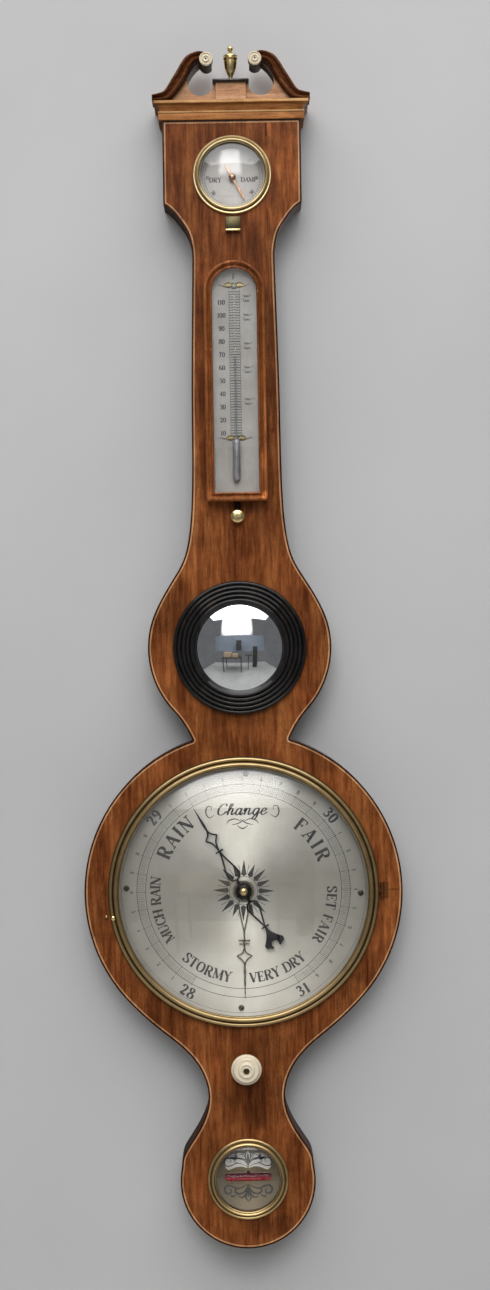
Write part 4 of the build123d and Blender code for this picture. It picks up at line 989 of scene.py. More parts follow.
def indicator():
    """Blued hand: slim dart, hollow four-cornered star, bar, long open loop and flared tail."""
    back, front, bevel = -27.8, -28.6, 0.18
    shape = Shape()
    dart = [(0, 78.0), (0, 70.0), (0, 63.0), (0, 59.0), (0, 56.0)]
    shape.strip(dart, [0.25, 1.1, 2.1, 1.9, 1.3], back, front, 0.1)
    bars = (
        ([(0, 57.0), (1.3, 53.2), (5.2, 49.6)], 1.25),
        ([(5.2, 49.6), (1.5, 45.2), (0, 38.6)], 1.25),
        ([(0, 37.0), (1.5, 30.0), (3.7, 22.0), (5.0, 15.5), (3.6, 12.0), (0, 10.4)], 1.3),
        ([(0, -33.0), (1.6, -27.0), (3.6, -20.0), (4.8, -14.5), (3.4, -11.2), (0, -9.8)], 1.3),
    )
    for points, width in bars:
        both_sides(shape, points, width, back, front, bevel, 8)
    shape.strip([(0, 40.0), (0, 35.0)], 1.5, back, front, bevel)
    for h in (37.2, -33.2):
        shape.strip([(-3.4, h), (3.4, h)], 1.3, back, front, bevel)
    for h in (11.0, -10.2):
        shape.strip([(0, h), (0, 0)], 2.4, back, front, bevel)
    bite = [(x, h - 49.2) for x, h in (polar(3.0, -128 + 12.8 * i) for i in range(21))]
    outline = [(-0.8, -33.0)] + smooth_line([(-1.1, -35.5), (-2.4, -39.0), (-5.0, -43.0), (-8.4, -46.8)], 6)
    outline += [(-8.0, -49.6), (-5.2, -50.6), (-3.4, -52.0)]
    moon = outline + bite + [(3.4, -52.0), (5.2, -50.6), (8.0, -49.6)]
    moon += [(-x, h) for x, h in reversed(outline[: -3])]
    moon = [p for i, p in enumerate(moon) if i == 0 or math.dist(p, moon[i - 1]) > 0.02]
    if signed_area(moon) < 0:
        moon.reverse()
    shape.plate(moon, back, front, 0.12)
    shape.lathe([(1.2, back), (6.2, back), (6.2, front), (1.2, front)], steps=48)
    shape.done("indicator_pointer", BLUED, "indicator", ("indicator_hand",), "steel_blued",
               turn=(HAND_REST, 0), crease=30)
    boss = [(0, -28.6), (6.8, -28.6), (6.8, -29.6), (6.5, -30.2), (5.9, -30.7), (5.4, -31.3), (4.9, -31.7),
            (4.2, -31.95), (3.3, -32.0), (0, -32.0)]
    cap = [(0, -31.8), (3.2, -31.8), (3.2, -32.9), (3.0, -33.6), (2.5, -34.3), (1.7, -34.8), (0.8, -34.98),
           (0, -35.0)]
    Shape().lathe(boss, steps=64).lathe(cap, steps=48, slot=1).done(
        "pointer_boss", [BOSS, BRASS_BRIGHT], "indicator", ("hand_boss",), "black_boss",
        crease=40)


indicator()


def set_pointer():
    """Brass set hand: open V loop, two bars, hollow star and a long fine point."""
    back, front, bevel = -26.0, -26.6, 0.12
    shape = Shape()
    bars = (
        ([(0, 33.0), (1.3, 27.0), (2.9, 19.0), (3.9, 12.0), (3.6, 7.0)], 1.0),
        ([(0, 58.8), (1.9, 55.2), (6.1, 52.0)], 0.9),
        ([(6.1, 52.0), (1.7, 49.6), (0, 45.6)], 0.9),
    )
    for points, width in bars:
        both_sides(shape, points, width, back, front, bevel, 6)
    shape.strip([(0, 31.5), (0, 39.0), (0, 46.0)], [1.1, 1.3, 1.2], back, front, bevel)
    shape.strip([(-4.6, 39.6), (4.6, 39.6)], 1.0, back, front, bevel)
    shape.strip([(-3.9, 42.4), (3.9, 42.4)], 0.9, back, front, bevel)
    shape.strip([(0, 57.5), (0, 62.0), (0, 70.0), (0, 85.8)], [1.0, 1.9, 1.7, 0.3], back, front, bevel)
    shape.lathe([(3.0, back), (8.4, back), (8.4, front), (3.0, front)], steps=48)
    shape.done("set_pointer_hand", SET_BRASS, "set_pointer", ("set_hand",), "brass", turn=(180, 0),
               crease=30)


set_pointer()


def hygrometer_pointer():
    shape = Shape()
    long_end = [(0, 0), (0, 8), (0, 15), (0, 21.4)]
    short_end = [(0, 0), (0, -4), (0, -8), (0, -12.6)]
    move = lambda line: [(x, h + HYGRO_H) for x, h in line]
    shape.strip(move(long_end), [0.9, 1.3, 1.7, 0.2], -24.6, -25.1, 0.12)
    shape.strip(move(short_end), [0.9, 1.5, 2.0, 0.2], -24.6, -25.1, 0.12)
    shape.lathe([(0, -24.6), (2.8, -24.6), (2.8, -25.4), (2.5, -26.2), (1.9, -26.8), (1.0, -27.15),
                 (0, -27.2)],
                at=(0, HYGRO_H), steps=40)
    shape.lathe([(0, -18.4), (0.5, -18.4), (0.5, -25.0), (0, -25.0)], at=(0, HYGRO_H), steps=16)
    shape.done("hygrometer_needle", COPPER, "hygrometer_pointer", ("hygrometer_hand",), "gilt_copper",
               turn=(HYGRO_REST, HYGRO_H), crease=35)


hygrometer_pointer()


def sprung_tab():
    shape = Shape().box((-6, -33.5, 528.2), (6, -32.35, 540.2), 0.3)
    # The lip in bright brass against the olive face of the same tab: painted highlight where it catches the
    # light from above.
    shape.box((-6, -36.2, 528.0), (6, -33.3, 529.8), 0.45, slot=1)
    shape.done("sprung_tab", [OLIVE, BRASS_BRIGHT], "hygrometer_latch", ("hygrometer_catch",), "brass")


sprung_tab()


# ---------------------------------------------------------------- thermometer


def thermometer_case():
    """Moulded frame: outer bead, cove and inner bead, mitred below and run round the arch above."""
    inside, outside, sill, foot, steps = 18.0, 24.25, 318.7, 312.0, 14

    def edge(half, low):
        right = [(half, low)] + [(half, sill + (ARCH_H - sill) * i / steps) for i in range(1, steps)]
        left = [(-x, h) for x, h in right]
        return left + arc((0.0, ARCH_H), half, 180, 0, 40) + right[::-1]

    inner, outer = edge(inside, sill), edge(outside, foot)
    section = [(0.0, -35.0), (0.0, -43.4), (0.03, -44.1), (0.10, -44.6), (0.18, -44.5), (0.24, -44.0),
               (0.27, -43.3), (0.31, -42.9), (0.38, -42.8), (0.46, -43.1), (0.54, -43.8), (0.60, -44.7),
               (0.64, -45.3), (0.72, -45.85), (0.82, -46.0), (0.92, -45.7), (0.98, -45.0), (1.0, -44.2),
               (1.0, -35.0)]
    rings = []
    for (ax, ah), (bx, bh) in zip(inner, outer):
        rings.append([(ax + (bx - ax) * u, y, ah + (bh - ah) * u) for u, y in section])
    shape = Shape().loft(rings, closed=True)
    shape.done("thermometer_frame", RAIL, "case", ("thermometer_rails", "thermometer_arch_rail"),
               "mahogany", crease=40)


thermometer_case()


def thermometer_glass():
    stem = [(0, 361.0), (1.6, 361.0), (1.6, 487.6), (1.2, 488.6), (0.6, 489.0), (0, 489.0)]
    low_end = [(0, 327.5)] + arc((0, 330.5), 3.0, -80, 0, 8)
    bulb = low_end + [(3.0, 358.5)] + arc((0, 358.5), 3.0, 10, 80, 8) + [(0, 361.5)]
    shape = Shape().lathe(stem, steps=24, axis="Z", y=TUBE_Y)
    shape.lathe(bulb, steps=32, axis="Z", y=-39.4, slot=1)
    shape.done("thermometer_glass", [VIAL_GLASS, FLUID], "case",
               ("thermometer_tube", "thermometer_mercury"), "glass_clear", crease=40)
    core = Shape().lathe([(0, 357.5), (0.4, 357.5), (0.4, 427.5), (0, 427.5)], steps=16, axis="Z", y=TUBE_Y)
    core.done("thermometer_thread", FLUID, "case", (), "mercury")


thermometer_glass()


def leaf_clips():
    """Brass clips cut as pairs of leaves, each leaf a raised spoon drawn out to a point; the spoons are in
    brighter brass than the wings, as painted highlights.
    """
    shape = Shape()
    for height, reach in ((484.0, 12.2), (362.0, 12.9)):
        for side in (1, -1):
            spine = [(1.0, 0.0), (2.4, 0.5), (4.4, 0.7), (6.6, 0.4), (8.6, 0.0), (10.4, 0.6), (reach, 1.4)]
            line = smooth_line([(side * x, height + h) for x, h in spine], 6)
            last = len(line) - 1
            widths = []
            for t in (i / last for i in range(last + 1)):
                widths.append(0.35 + 5.4 * math.sin(math.pi * min(1.0, t * 1.45)) ** 1.2 * (1 - 0.5 * t))
            shape.strip(line, widths, -36.06, -36.45, 0.18)
            # Painted highlight: the raised spoons in brighter brass.
            shape.strip(line, [w * 0.45 + 0.1 for w in widths], -36.3, -36.85, 0.2, slot=1)
        ring_line = arc((0.0, height), 2.0, 0, 345, 23)
        shape.strip(ring_line, 0.8, -36.06, -36.9, 0.15, closed=True)
    shape.done("leaf_clip_pair", [OLIVE, CLIP], "case", ("leaf_clips",), "brass", crease=35)


leaf_clips()


# ---------------------------------------------------------------- engraving

THIN, THICK = 0.085, 0.23
# How far engraved wax reaches into its plate, and how far lines and letters stand proud of it.
SUNK, LINE_PROUD, LETTER_PROUD = 0.02, 0.04, 0.05
# Letters on a unit height: width, then strokes. k is a thick stem, n a thin one, c a curve whose
# weight follows its direction, and s a serif centred on a point.
LETTERS = {
    "A": (0.84, "n .08 0 .42 1", "k .42 1 .74 0", "n .21 .34 .62 .34", "s .08 0", "s .74 0"),
    "C": (0.80, "c .72 .78 .6 .96 .42 1 .2 .88 .1 .5 .2 .12 .42 0 .62 .04 .74 .24", "n .73 1 .73 .7"),
    "D": (0.88, "k .18 0 .18 1", "c .1 1 .44 1 .7 .86 .8 .5 .7 .14 .44 0 .1 0", "s .12 1", "s .12 0"),
    "E": (0.74, "k .18 0 .18 1", "n .06 1 .66 1", "n .18 .52 .5 .52", "n .06 0 .68 0", "n .66 1 .66 .76",
          "n .68 0 .68 .26", "n .5 .64 .5 .4"),
    "F": (0.70, "k .18 0 .18 1", "n .06 1 .64 1", "n .18 .52 .48 .52", "n .64 1 .64 .76",
          "n .48 .64 .48 .4", "s .18 0"),
    "G": (0.84, "c .72 .78 .6 .96 .42 1 .2 .88 .1 .5 .2 .12 .42 0 .66 .06", "k .68 0 .68 .42",
          "n .73 1 .73 .72", "n .54 .43 .8 .43"),
    "H": (0.92, "k .18 0 .18 1", "k .74 0 .74 1", "n .18 .51 .74 .51", "s .18 0", "s .18 1", "s .74 0",
          "s .74 1"),
    "I": (0.40, "k .2 0 .2 1", "s .2 0", "s .2 1"),
    "M": (1.06, "n .14 0 .14 1", "k .14 1 .52 .04", "n .52 .04 .9 1", "k .9 1 .9 0", "s .14 0", "s .9 0",
          "s .1 1", "s .92 1"),
    "N": (0.92, "n .14 0 .14 1", "k .14 1 .76 0", "n .76 0 .76 1", "s .14 0", "s .76 1", "s .1 1"),
    "O": (0.88, "c .44 1 .2 .88 .1 .5 .2 .12 .44 0 .68 .12 .78 .5 .68 .88 .44 1"),
    "P": (0.78, "k .18 0 .18 1", "c .1 1 .44 1 .64 .9 .68 .72 .6 .55 .42 .47 .18 .47", "s .18 0"),
    "R": (0.86, "k .18 0 .18 1", "c .1 1 .44 1 .62 .9 .66 .74 .6 .58 .42 .5 .18 .5",
          "k .44 .5 .6 .12 .7 .03 .84 .05", "s .18 0"),
    "S": (0.68, "c .58 .8 .46 .97 .3 1 .14 .88 .14 .7 .3 .56 .46 .44 .58 .28 .54 .08 .34 0 .2 .02 .08 .2",
          "n .59 1 .59 .74", "n .07 0 .07 .26"),
    "T": (0.80, "k .4 0 .4 1", "n .06 1 .74 1", "n .06 1 .06 .74", "n .74 1 .74 .74", "s .4 0"),
    "U": (0.88, "k .18 1 .18 .32", "c .18 .34 .22 .08 .44 0 .66 .1 .7 .34", "n .7 .3 .7 1", "s .18 1",
          "s .7 1"),
    "V": (0.82, "k .1 1 .42 0", "n .42 0 .74 1", "s .1 1", "s .74 1"),
    "Y": (0.80, "k .1 1 .4 .48", "n .72 1 .4 .48", "k .4 .5 .4 0", "s .1 1", "s .72 1", "s .4 0"),
    "0": (0.62, "c .31 1 .14 .86 .08 .5 .14 .14 .31 0 .48 .14 .54 .5 .48 .86 .31 1"),
    "1": (0.44, "k .24 0 .24 1", "n .1 .84 .24 1", "s .24 0"),
    "2": (0.62, "c .1 .74 .14 .92 .3 1 .48 .9 .5 .7 .36 .42 .1 .05", "k .1 .06 .32 .1 .54 .03",
          "n .55 .03 .56 .2"),
    "3": (0.60, "c .1 .86 .28 1 .46 .88 .46 .66 .24 .54", "c .24 .54 .5 .42 .53 .2 .3 0 .08 .14"),
    "4": (0.62, "n .42 1 .06 .3", "n .06 .3 .6 .3", "k .42 1 .42 0"),
    "5": (0.60, "k .16 .96 .5 .98", "n .16 1 .13 .56", "c .13 .56 .32 .64 .5 .52 .54 .28 .34 0 .08 .12"),
    "6": (0.60, "c .48 .9 .3 1 .12 .7 .08 .32 .28 0 .5 .16 .5 .42 .3 .56 .1 .38"),
    "7": (0.60, "k .08 .97 .54 .97", "n .08 1 .08 .8", "k .52 .97 .3 .5 .24 0"),
    "8": (0.60, "c .3 .54 .12 .72 .16 .94 .3 1 .46 .94 .48 .72 .3 .54",
          "c .3 .54 .08 .34 .1 .08 .3 0 .5 .08 .54 .34 .3 .54"),
    "9": (0.60, "c .12 .1 .3 0 .48 .3 .52 .68 .32 1 .1 .84 .1 .58 .3 .44 .5 .62"),
    " ": (0.42,),
    # Written letters, for the word in script: the first is its capital.
    "c": (0.92, "c .74 .80 .70 .97 .52 1 .28 .88 .12 .55 .16 .16 .40 0 .66 .10 .86 .34"),
    "h": (0.72, "c 0 .2 .16 .5 .32 .86 .30 1 .20 .98 .14 .8 .12 .4 .10 0",
          "c .12 .30 .24 .54 .38 .58 .46 .46 .44 .14 .54 .02 .72 .2"),
    "a": (0.74, "c .50 .50 .34 .60 .14 .46 .08 .18 .20 0 .36 .08 .50 .36",
          "c .53 .58 .50 .30 .50 .06 .60 0 .74 .2"),
    "n": (0.80, "c .02 .3 .10 .56 .16 .5 .14 0", "c .14 .26 .28 .54 .44 .58 .50 .46 .48 .14 .58 .02 .80 .2"),
    "g": (0.70, "c .50 .50 .34 .60 .14 .46 .08 .18 .20 0 .36 .08 .50 .36",
          "c .54 .58 .52 .20 .48 -.20 .34 -.40 .16 -.32 .26 -.10 .70 .2"),
    "e": (0.62, "c .10 .26 .34 .34 .46 .48 .34 .60 .16 .48 .08 .22 .22 0 .42 .06 .62 .24"),
}


def glyph(shape, letter, size, place, y, weight=1.0, slot=0):
    """Cuts one letter; place takes a point in the letter's own millimetres to (x, height)."""
    for stroke in LETTERS[letter][1:]:
        kind, numbers = stroke[0], [float(n) for n in stroke[1:].split()]
        points = list(zip(numbers[0::2], numbers[1::2]))
        if kind == "s":
            x, h = points[0]
            points = [(x - 0.15, h), (x + 0.15, h)]
        elif kind == "c" or len(points) > 2:
            points = smooth_line(points, 5)
        if kind == "c":
            widths = []
            for i in range(len(points)):
                a, b = points[max(0, i - 1)], points[min(len(points) - 1, i + 1)]
                lean = abs(b[1] - a[1]) / max(1e-6, math.dist(a, b))
                widths.append(THIN + (THICK - THIN) * lean ** 1.6)
        else:
            widths = [THICK if kind == "k" else THIN] * len(points)
        line = [(x * size, h * size) for x, h in points]
        shape.strip(line, [w * size * weight for w in widths], y + SUNK, y - LETTER_PROUD, place=place,
                    slot=slot)


def text_width(text, size, gap):
    return sum(LETTERS[c][0] * size for c in text) + gap * (len(text) - 1)


def text_on_arc(shape, text, size, radius, angle, y, upright=True, gap=0.5, at=(0, 0), weight=1.0, slot=0,
                span=None):
    """Sets text round an arc about its middle angle, its tops outwards or towards the centre."""
    width = text_width(text, size, gap)
    if span:
        gap += (math.radians(span) * (radius + size / 2) - width) / max(1, len(text) - 1)
        width = text_width(text, size, gap)
    start = -width / 2
    for letter in text:
        def place(point, start=start):
            if upright:
                x, h = polar(radius + point[1],
                             angle + math.degrees((start + point[0]) / (radius + size / 2)))
            else:
                x, h = polar(radius + size - point[1],
                             angle - math.degrees((start + point[0]) / (radius + size / 2)))
            return (at[0] + x, at[1] + h)
        glyph(shape, letter, size, place, y, weight, slot)
        start += LETTERS[letter][0] * size + gap


def text_in_line(shape, text, size, at, y, slant=0.0, gap=0.3, weight=1.0):
    """Sets text on a level line about its middle; slant leans it to the right."""
    start = -text_width(text, size, gap) / 2
    for letter in text:
        def place(point, start=start):
            return (at[0] + start + point[0] + slant * point[1], at[1] + point[1])
        glyph(shape, letter, size, place, y, weight)
        start += LETTERS[letter][0] * size + gap


def ring(shape, radius, width, y, at=(0, 0), slot=0, steps=192):
    inner, outer = radius - width / 2, radius + width / 2
    section = [(inner, y + SUNK), (outer, y + SUNK), (outer, y - LINE_PROUD), (inner, y - LINE_PROUD)]
    shape.lathe(section, at=at, steps=steps, slot=slot)


def tick(shape, inner, outer, angle, width, y, at=(0, 0)):
    a, b = polar(inner, angle), polar(outer, angle)
    shape.strip([(at[0] + a[0], at[1] + a[1]), (at[0] + b[0], at[1] + b[1])], width, y + SUNK, y - LINE_PROUD)


def flourish(shape, points, width, y, steps=8, place=None):
    """A pen line that swells in the middle and fades at both ends."""
    line = smooth_line(points, steps)
    last = len(line) - 1
    widths = [width * (0.25 + 0.75 * math.sin(math.pi * i / last)) for i in range(last + 1)]
    shape.strip(line, widths, y + SUNK, y - LINE_PROUD, place=place)


def dial_engraving():
    y = DIAL_FRONT
    shape = Shape()
    ring(shape, 78.6, 0.42, y)
    ring(shape, 85.6, 0.42, y)
    ring(shape, 98.0, 0.25, y, slot=1)
    for degree in range(-150, 151):
        if degree % 10 == 0:
            tick(shape, 78.7, 86.8, degree, 0.34, y)
        elif degree % 5 == 0:
            tick(shape, 79.6, 85.6, degree, 0.24, y)
        else:
            tick(shape, 80.2, 85.6, degree, 0.2, y)
    for inches, angle in ((28, -150), (29, -50), (30, 50), (31, 150)):
        top = abs(angle) < 90
        text_on_arc(shape, str(inches), 8.2, 88.4, angle, y, upright=top, gap=1.4, weight=1.0,
                    slot=1 if inches == 29 else 0)
    for start in (-150, -50, 50):
        for tenth in range(1, 10):
            angle = start + 10 * tenth
            text_on_arc(shape, str(tenth), 3.0, 88.6, angle, y, upright=abs(angle) < 100, slot=1)
    words = (("RAIN", -51.5, 31, 10.6, 65.0, True), ("FAIR", 54.5, 31, 10.4, 64.6, True),
             ("SET FAIR", 107.0, 38, 7.6, 67.2, True), ("VERY DRY", 157.5, 39, 7.6, 66.4, False),
             ("STORMY", 206.0, 34, 7.8, 66.2, False), ("MUCH RAIN", 258.0, 44, 7.6, 67.2, True))
    for text, angle, span, size, radius, top in words:
        text_on_arc(shape, text, size, radius, angle, y, upright=top, span=span)
    text_in_line(shape, "change", 8.9, (-1.0, 60.8), y, slant=0.3, gap=0.1, weight=0.75)
    for side in (1, -1):
        flourish(shape, [(side * 22.5, 61.0), (side * 26.5, 58.8), (side * 29.2, 62.2), (side * 28.4, 67.2),
                         (side * 25.2, 67.6), (side * 25.0, 64.4)], 1.0, y)
        flourish(shape, [(side * 0.8, 55.4), (side * 6.0, 57.6), (side * 11.0, 56.2), (side * 12.6, 53.6)],
                 0.9, y)
        flourish(shape, [(-side * 2.0, 57.4), (side * 3.0, 54.2), (side * 8.6, 52.8)], 0.8, y)
    flourish(shape, [(-4.5, 52.4), (0, 49.8), (4.5, 52.4)], 0.9, y)
    for index in range(16):
        angle = index * 22.5 + 1.5
        tip = polar(25.0 if index % 2 == 0 else 23.0, angle)
        left, right, middle = polar(13.2, angle - 9.5), polar(13.2, angle + 10), polar(11.6, angle)
        shape.plate([tip, left, middle, right], y + SUNK, y - LETTER_PROUD)
        tick(shape, 14.0, 21.0, angle + 11.25, 0.4, y)
    ring(shape, 11.4, 0.4, y, steps=64)
    shape.done("dial_engraving", [INK, FAINT], "case", (), "silvered", crease=60)


dial_engraving()


def hygrometer_engraving():
    y = HYGRO_FRONT
    at = (0, HYGRO_H)
    shape = Shape()
    ring(shape, 22.0, 0.2, y, at, steps=96)
    ring(shape, 24.2, 0.2, y, at, steps=96)
    for degree in range(-140, 141, 5):
        tick(shape, 22.0, 24.2 if degree % 20 else 25.0, degree, 0.2, y, at)
    text_in_line(shape, "DRY", 3.6, (-13.6, HYGRO_H - 3.4), y, gap=0.3)
    text_in_line(shape, "DAMP", 3.6, (13.4, HYGRO_H - 3.4), y, gap=0.1)
    for angle in (-128, 128):
        text_on_arc(shape, "50", 2.7, 18.0, angle, y, upright=False, at=at, gap=0.2)
    for angle in (-90, -45, 0, 45, 90):
        text_on_arc(shape, str(abs(angle) // 9 * 2 or 0), 2.3, 18.6, angle, y, at=at, gap=0.15, slot=1)
    shape.done("hygrometer_engraving", [INK, FAINT], "case", (), "silvered", crease=60)


hygrometer_engraving()


def thermometer_engraving():
    """Ladder of degrees behind the tube, numbered every ten on the left, with five written notes."""
    y = SCALE_FRONT
    left, right, bottom, top = -4.2, 4.3, 364.0, 481.0
    ten_degrees = 10.44
    shape = Shape()

    def line(ends, width, slot=0):
        shape.strip(ends, width, y + SUNK, y - LINE_PROUD, slot=slot)

    for x in (left, right):
        line([(x, bottom), (x, top)], 0.3)
    for index in range(56):
        h = bottom + 0.4 + index * ten_degrees / 5
        line([(left, h), (right, h)], 0.75 if index % 5 == 1 else 0.55)
    for index in range(11):
        h = 364.8 + ten_degrees * index
        text_in_line(shape, str(10 * (index + 1)), 3.6, (-10.4, h), y, gap=0.25, weight=1.1)
    notes = ((473.6, 6.6), (458.6, 7.4), (435.8, 7.0), (416.8, 8.0), (391.4, 8.4))
    for h, width in notes:
        line([(5.0, h), (9.0, h)], 0.25, slot=1)
        for row, share in ((1.9, 1.0), (-1.9, 0.8)):
            low, end = h + row, 7.0 + width * share
            scrawl = [(7.0, low - 0.4), (7.6, low + 1.3), (8.3, low - 0.5), (9.1, low + 0.7),
                      (9.8, low - 0.5), (10.6, low + 0.7), (11.4, low - 0.4), (end - 0.8, low + 1.0),
                      (end, low - 0.4)]
            flourish(shape, scrawl, 0.62, y, steps=4)
    text_in_line(shape, "F", 4.4, (0.2, 489.5), y, weight=1.0)
    shape.done("thermometer_engraving", [INK, FAINT], "case", (), "silvered", crease=60)


thermometer_engraving()


def level_engraving():
    """Leaf scrolls above and below the vial, the upper ones on bright leaves: painted reflection of the light
    from above.
    """
    y = LEVEL_FRONT
    shape = Shape()
    # Bright leaves above the vial only: painted reflection of the light from above.
    leaves = (
        [(0.3, 6.4), (5.0, 7.4), (10.0, 6.8), (15.8, 4.8), (18.4, 8.4), (17.2, 13.2), (13.6, 15.2),
         (8.0, 14.6), (2.6, 11.6)],
        [(0.1, 9.0), (3.2, 12.2), (8.0, 13.4), (10.6, 16.4), (6.6, 18.2), (2.8, 17.6), (0.1, 19.8)],
        [(9.4, 12.8), (13.0, 13.4), (15.4, 15.2), (12.6, 17.4), (8.6, 16.4)],
    )
    for outline in leaves:
        for side in (1, -1):
            leaf = [(side * x, LEVEL_H + h) for x, h in smooth_line(outline, 4, closed=True)]
            if signed_area(leaf) < 0:
                leaf.reverse()
            shape.plate(leaf, y + SUNK, y - SUNK, slot=1)
    for flip in (1, -1):
        def place(point):
            return (point[0], LEVEL_H + flip * point[1])
        for side in (1, -1):
            lines = (
                ([(0, 6.6), (4, 9.0), (9, 10.0), (13, 8.4), (16.8, 7.8), (19.0, 10.4), (17.6, 13.8),
                  (14.2, 13.6), (13.8, 11.2), (15.6, 10.6)], 0.8),
                ([(0, 7.4), (3.2, 12.6), (7.2, 14.4), (10.4, 12.8), (10.0, 10.6), (7.8, 10.8)], 0.7),
                ([(0.4, 9.0), (2.6, 15.6), (5.4, 17.4), (8.4, 15.8)], 0.6),
                ([(9.4, 14.8), (12.6, 16.6), (14.6, 15.2)], 0.6),
                ([(0, 8.0), (1.8, 13.4), (2.0, 17.4), (0, 20.6)], 0.7),
                ([(0, 9.4), (0.7, 13.0), (0, 17.4)], 0.6),
            )
            for line, width in lines:
                pen = width if flip > 0 else 2.3 * width
                flourish(shape, [(side * x, h) for x, h in line], pen, y, place=place, steps=6)
            for k in range(6):
                x = 1.0 + 0.55 * k
                flourish(shape, [(side * x, 10.6 + 0.9 * k), (side * (x + 1.4), 11.4 + 0.9 * k)], 0.35, y,
                         place=place, steps=3)
    shape.done("level_engraving", [INK, LEAF_REFLECTION], "case", (), "silvered", crease=60)


level_engraving()


def level_glass_parts():
    """Barrelled vial with rounded ends and its filling nipple, nearly full of spirit."""
    def capsule(radius, half, bulge):
        points = [(0, -half)]
        points += [(radius * math.sin(a), -half + 2.2 * (1 - math.cos(a))) for a in (0.35, 0.7, 1.05, 1.35)]
        for i in range(1, 16):
            t = -1 + 2 * i / 16
            points.append((radius + bulge * (1 - t * t), (half - 2.2) * t))
        points += [(radius * math.sin(a), half - 2.2 * (1 - math.cos(a))) for a in (1.35, 1.05, 0.7, 0.35)]
        return points + [(0, half)]
    shape = Shape().lathe(capsule(3.3, 20.0, 0.2), at=(0, LEVEL_H), steps=40, axis="X", y=VIAL_Y)
    nipple = [(0, LEVEL_H + 3.0), (1.3, LEVEL_H + 3.0), (1.1, LEVEL_H + 4.0), (0.9, LEVEL_H + 4.8),
              (0.5, LEVEL_H + 5.2), (0, LEVEL_H + 5.2)]
    shape.lathe(nipple, steps=24, axis="Z", y=VIAL_Y, slot=1)
    shape.done("level_tube", [VIAL_GLASS, SPIRIT], "case", ("level_vial",), "glass_clear", crease=50)
    Shape().lathe(capsule(2.45, 18.6, 0.2), at=(0, LEVEL_H), steps=36, axis="X", y=VIAL_Y).done(
        "level_filling", SPIRIT, "case", ("level_spirit",), "red_spirit", crease=50)


level_glass_parts()


# ---------------------------------------------------------------- stage, lights and camera

# The room, in metres.
WORLD_GREY = 0.42
ROOM_HALF, FLOOR_Z, WALL_TOP, WALL_GAP = 2.2, -1.7, 1.3, 0.0006
TABLE_Z, STAND_Z = -0.95, -0.85
LEG = 0.04


def plain(name, colour, rough=0.9):
    paint = Paint(name, Roughness=rough, Specular_IOR_Level=0.15)
    cloud = paint.noise(0.004, 3, 0.5)
    grit = paint.noise(0.5, 3, 0.6)
    shade = paint.ramp(cloud, (0.3, tuple(c * 0.96 for c in colour)),
                       (0.7, tuple(min(1, c * 1.04) for c in colour)))
    paint.set("Base Color", shade)
    paint.bump(grit, 0.15, 0.2)
    return paint


def staged(name, verts, faces, paint):
    """Part of the room, not of the object."""
    data = bpy.data.meshes.new(name)
    data.from_pydata([Vector(v) for v in verts], [], faces)
    data.materials.append(paint.material)
    obj = bpy.data.objects.new(name, data)
    bpy.context.scene.collection.objects.link(obj)
    return obj


def wall():
    """Plain pale wall just behind the case; it is open from behind and to lamps behind it."""
    paint = plain("wall_paint", (0.465, 0.465, 0.468))
    behind = paint.put("ShaderNodeNewGeometry").outputs["Backfacing"]
    shadow = paint.put("ShaderNodeLightPath").outputs["Is Shadow Ray"]
    paint.clear_where(paint.math("MAXIMUM", behind, shadow))
    y = CAD_BOX[1][1] + WALL_GAP
    verts = [(-ROOM_HALF, y, FLOOR_Z), (ROOM_HALF, y, FLOOR_Z), (ROOM_HALF, y, WALL_TOP),
             (-ROOM_HALF, y, WALL_TOP)]
    staged("wall", verts, [[0, 1, 2, 3]], paint)


def floor():
    near, far = -4.5, 0.002
    verts = [(-ROOM_HALF, near, FLOOR_Z), (ROOM_HALF, near, FLOOR_Z), (ROOM_HALF, far, FLOOR_Z),
             (-ROOM_HALF, far, FLOOR_Z)]
    staged("floor", verts, [[0, 1, 2, 3]], plain("floor_paint", (0.55, 0.54, 0.52)))


def furniture():
    """Plain stands and boxes across the room, seen only in the convex glass and never straight on."""
    dark = plain("stand_paint", (0.07, 0.065, 0.065), 0.5)
    tan = plain("carton_paint", (0.60, 0.45, 0.30))
    grey = plain("screen_paint", (0.33, 0.37, 0.43))
    blocks = [(dark, (-0.9, -3.4, TABLE_Z), (0.1, -2.6, TABLE_Z + LEG))]
    for x, y in ((-0.88, -3.38), (0.04, -3.38), (-0.88, -2.64), (0.04, -2.64)):
        blocks.append((dark, (x, y, FLOOR_Z), (x + LEG, y + LEG, TABLE_Z)))
    blocks += [
        (tan, (-0.85, -3.2, TABLE_Z + LEG), (-0.45, -2.8, -0.66)),
        (tan, (-0.40, -3.1, TABLE_Z + LEG), (-0.10, -2.8, -0.75)),
        (dark, (0.45, -3.0, FLOOR_Z), (0.45 + LEG, -3.0 + LEG, STAND_Z)),
        (dark, (0.30, -3.1, STAND_Z), (0.64, -2.8, STAND_Z + LEG)),
        (grey, (-2.0, -4.2, -0.7), (2.0, -4.15, 0.55)),
        (dark, (0.85, -3.5, FLOOR_Z), (1.1, -3.3, -0.35)),
        (dark, (-0.25, -3.9, -0.6), (0.12, -3.8, 0.1)),
    ]
    faces = [[0, 2, 3, 1], [4, 5, 7, 6], [0, 1, 5, 4], [2, 6, 7, 3], [0, 4, 6, 2], [1, 3, 7, 5]]
    for index, (paint, low, high) in enumerate(blocks):
        x_ends, y_ends, z_ends = zip(low, high)
        verts = [(x, y, z) for z in z_ends for y in y_ends for x in x_ends]
        staged("room_block_%02d" % index, verts, faces, paint).visible_camera = False


wall()
floor()
furniture()


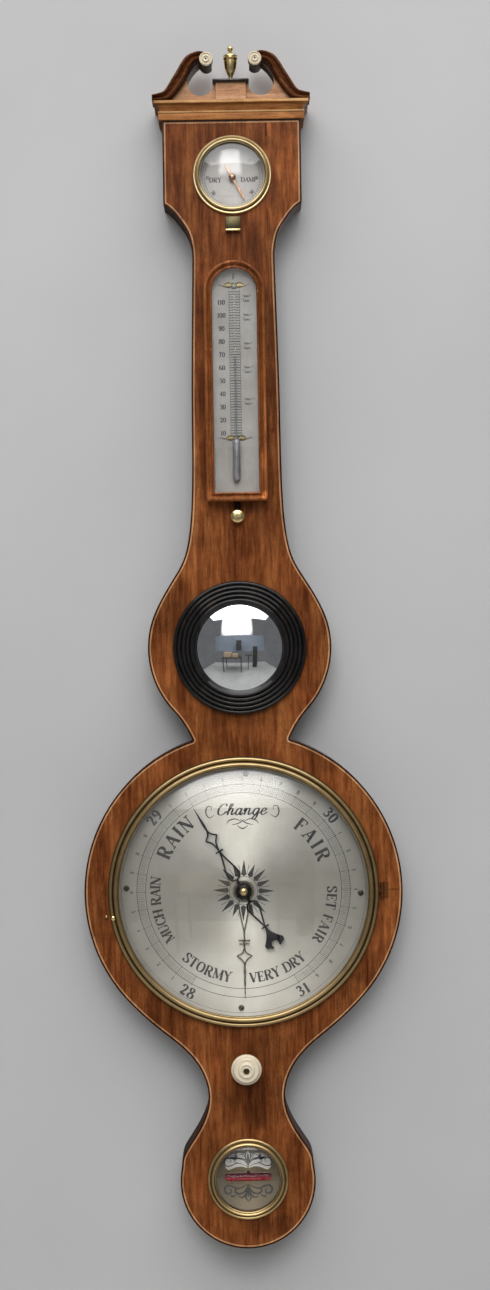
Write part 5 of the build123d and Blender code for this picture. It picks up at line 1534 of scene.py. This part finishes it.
def lamp(name, at, aim, size, power, fade=0.0):
    """A rectangular soft box; fade is the share of its width over which its edges fall away."""
    data = bpy.data.lights.new(name, "AREA")
    data.shape = "RECTANGLE"
    data.size, data.size_y = size
    data.energy = power
    if fade:
        data.use_nodes = True
        tree = data.node_tree
        across = put_node(tree, "ShaderNodeNewGeometry").outputs["Parametric"]
        across = put_node(tree, "ShaderNodeSeparateXYZ", {0: across}).outputs

        def maths(operation, a, b):
            return put_node(tree, "ShaderNodeMath", {0: a, 1: b}, operation=operation).outputs[0]

        rises = []
        for axis in (0, 1):
            edge = maths("MINIMUM", across[axis], maths("SUBTRACT", 1.0, across[axis]))
            rises.append(maths("MINIMUM", maths("DIVIDE", edge, fade), 1.0))
        tree.links.new(maths("MULTIPLY", *rises), tree.nodes["Emission"].inputs["Strength"])
    obj = bpy.data.objects.new(name, data)
    obj.location = at
    obj.rotation_euler = (Vector(aim) - Vector(at)).to_track_quat("-Z", "Y").to_euler()
    bpy.context.scene.collection.objects.link(obj)
    return obj


DIAL_Z = ORIGIN.z
WINDOW_H = DIAL_Z + 4.7
lamp("window_light", (-0.36, -6.6, WINDOW_H), (-0.36, 0.0, WINDOW_H), (4.2, 6.4), 400, fade=0.16)
lamp("ceiling_light", (0.0, -1.8, DIAL_Z + 2.2), (0.0, -1.8, DIAL_Z), (3.8, 3.0), 98)
lamp("back_light", (0.5, 1.8, DIAL_Z + 0.9), (0.0, 0.0, DIAL_Z + 0.1), (1.4, 1.4), 26)

world = bpy.data.worlds.new("soft_room")
world.use_nodes = True
sky = world.node_tree.nodes["Background"].inputs
sky["Color"].default_value = (WORLD_GREY, WORLD_GREY, WORLD_GREY * 1.01, 1)
sky["Strength"].default_value = 0.4
bpy.context.scene.world = world
bpy.context.scene.view_settings.view_transform = "Standard"

# The camera looks square at the face, level with the trunk, and shows SPAN metres of height there.
CAMERA_DISTANCE = 1.70
CAMERA_X, CAMERA_RISE = 0.0043, 0.1973
CAMERA_ROLL = 0.92
SENSOR = 36.0
SUBJECT_Y = -0.028
SPAN = 1.0346
camera_data = bpy.data.cameras.new("camera")
camera_data.sensor_fit = "VERTICAL"
camera_data.sensor_height = SENSOR
camera_data.lens = SENSOR * CAMERA_DISTANCE / SPAN
camera = bpy.data.objects.new("camera", camera_data)
camera.matrix_world = (Matrix.Translation((CAMERA_X, SUBJECT_Y - CAMERA_DISTANCE, DIAL_Z + CAMERA_RISE))
                       @ Matrix.Rotation(math.radians(90), 4, "X")
                       @ Matrix.Rotation(math.radians(-CAMERA_ROLL), 4, "Z"))
bpy.context.scene.collection.objects.link(camera)
bpy.context.scene.camera = camera
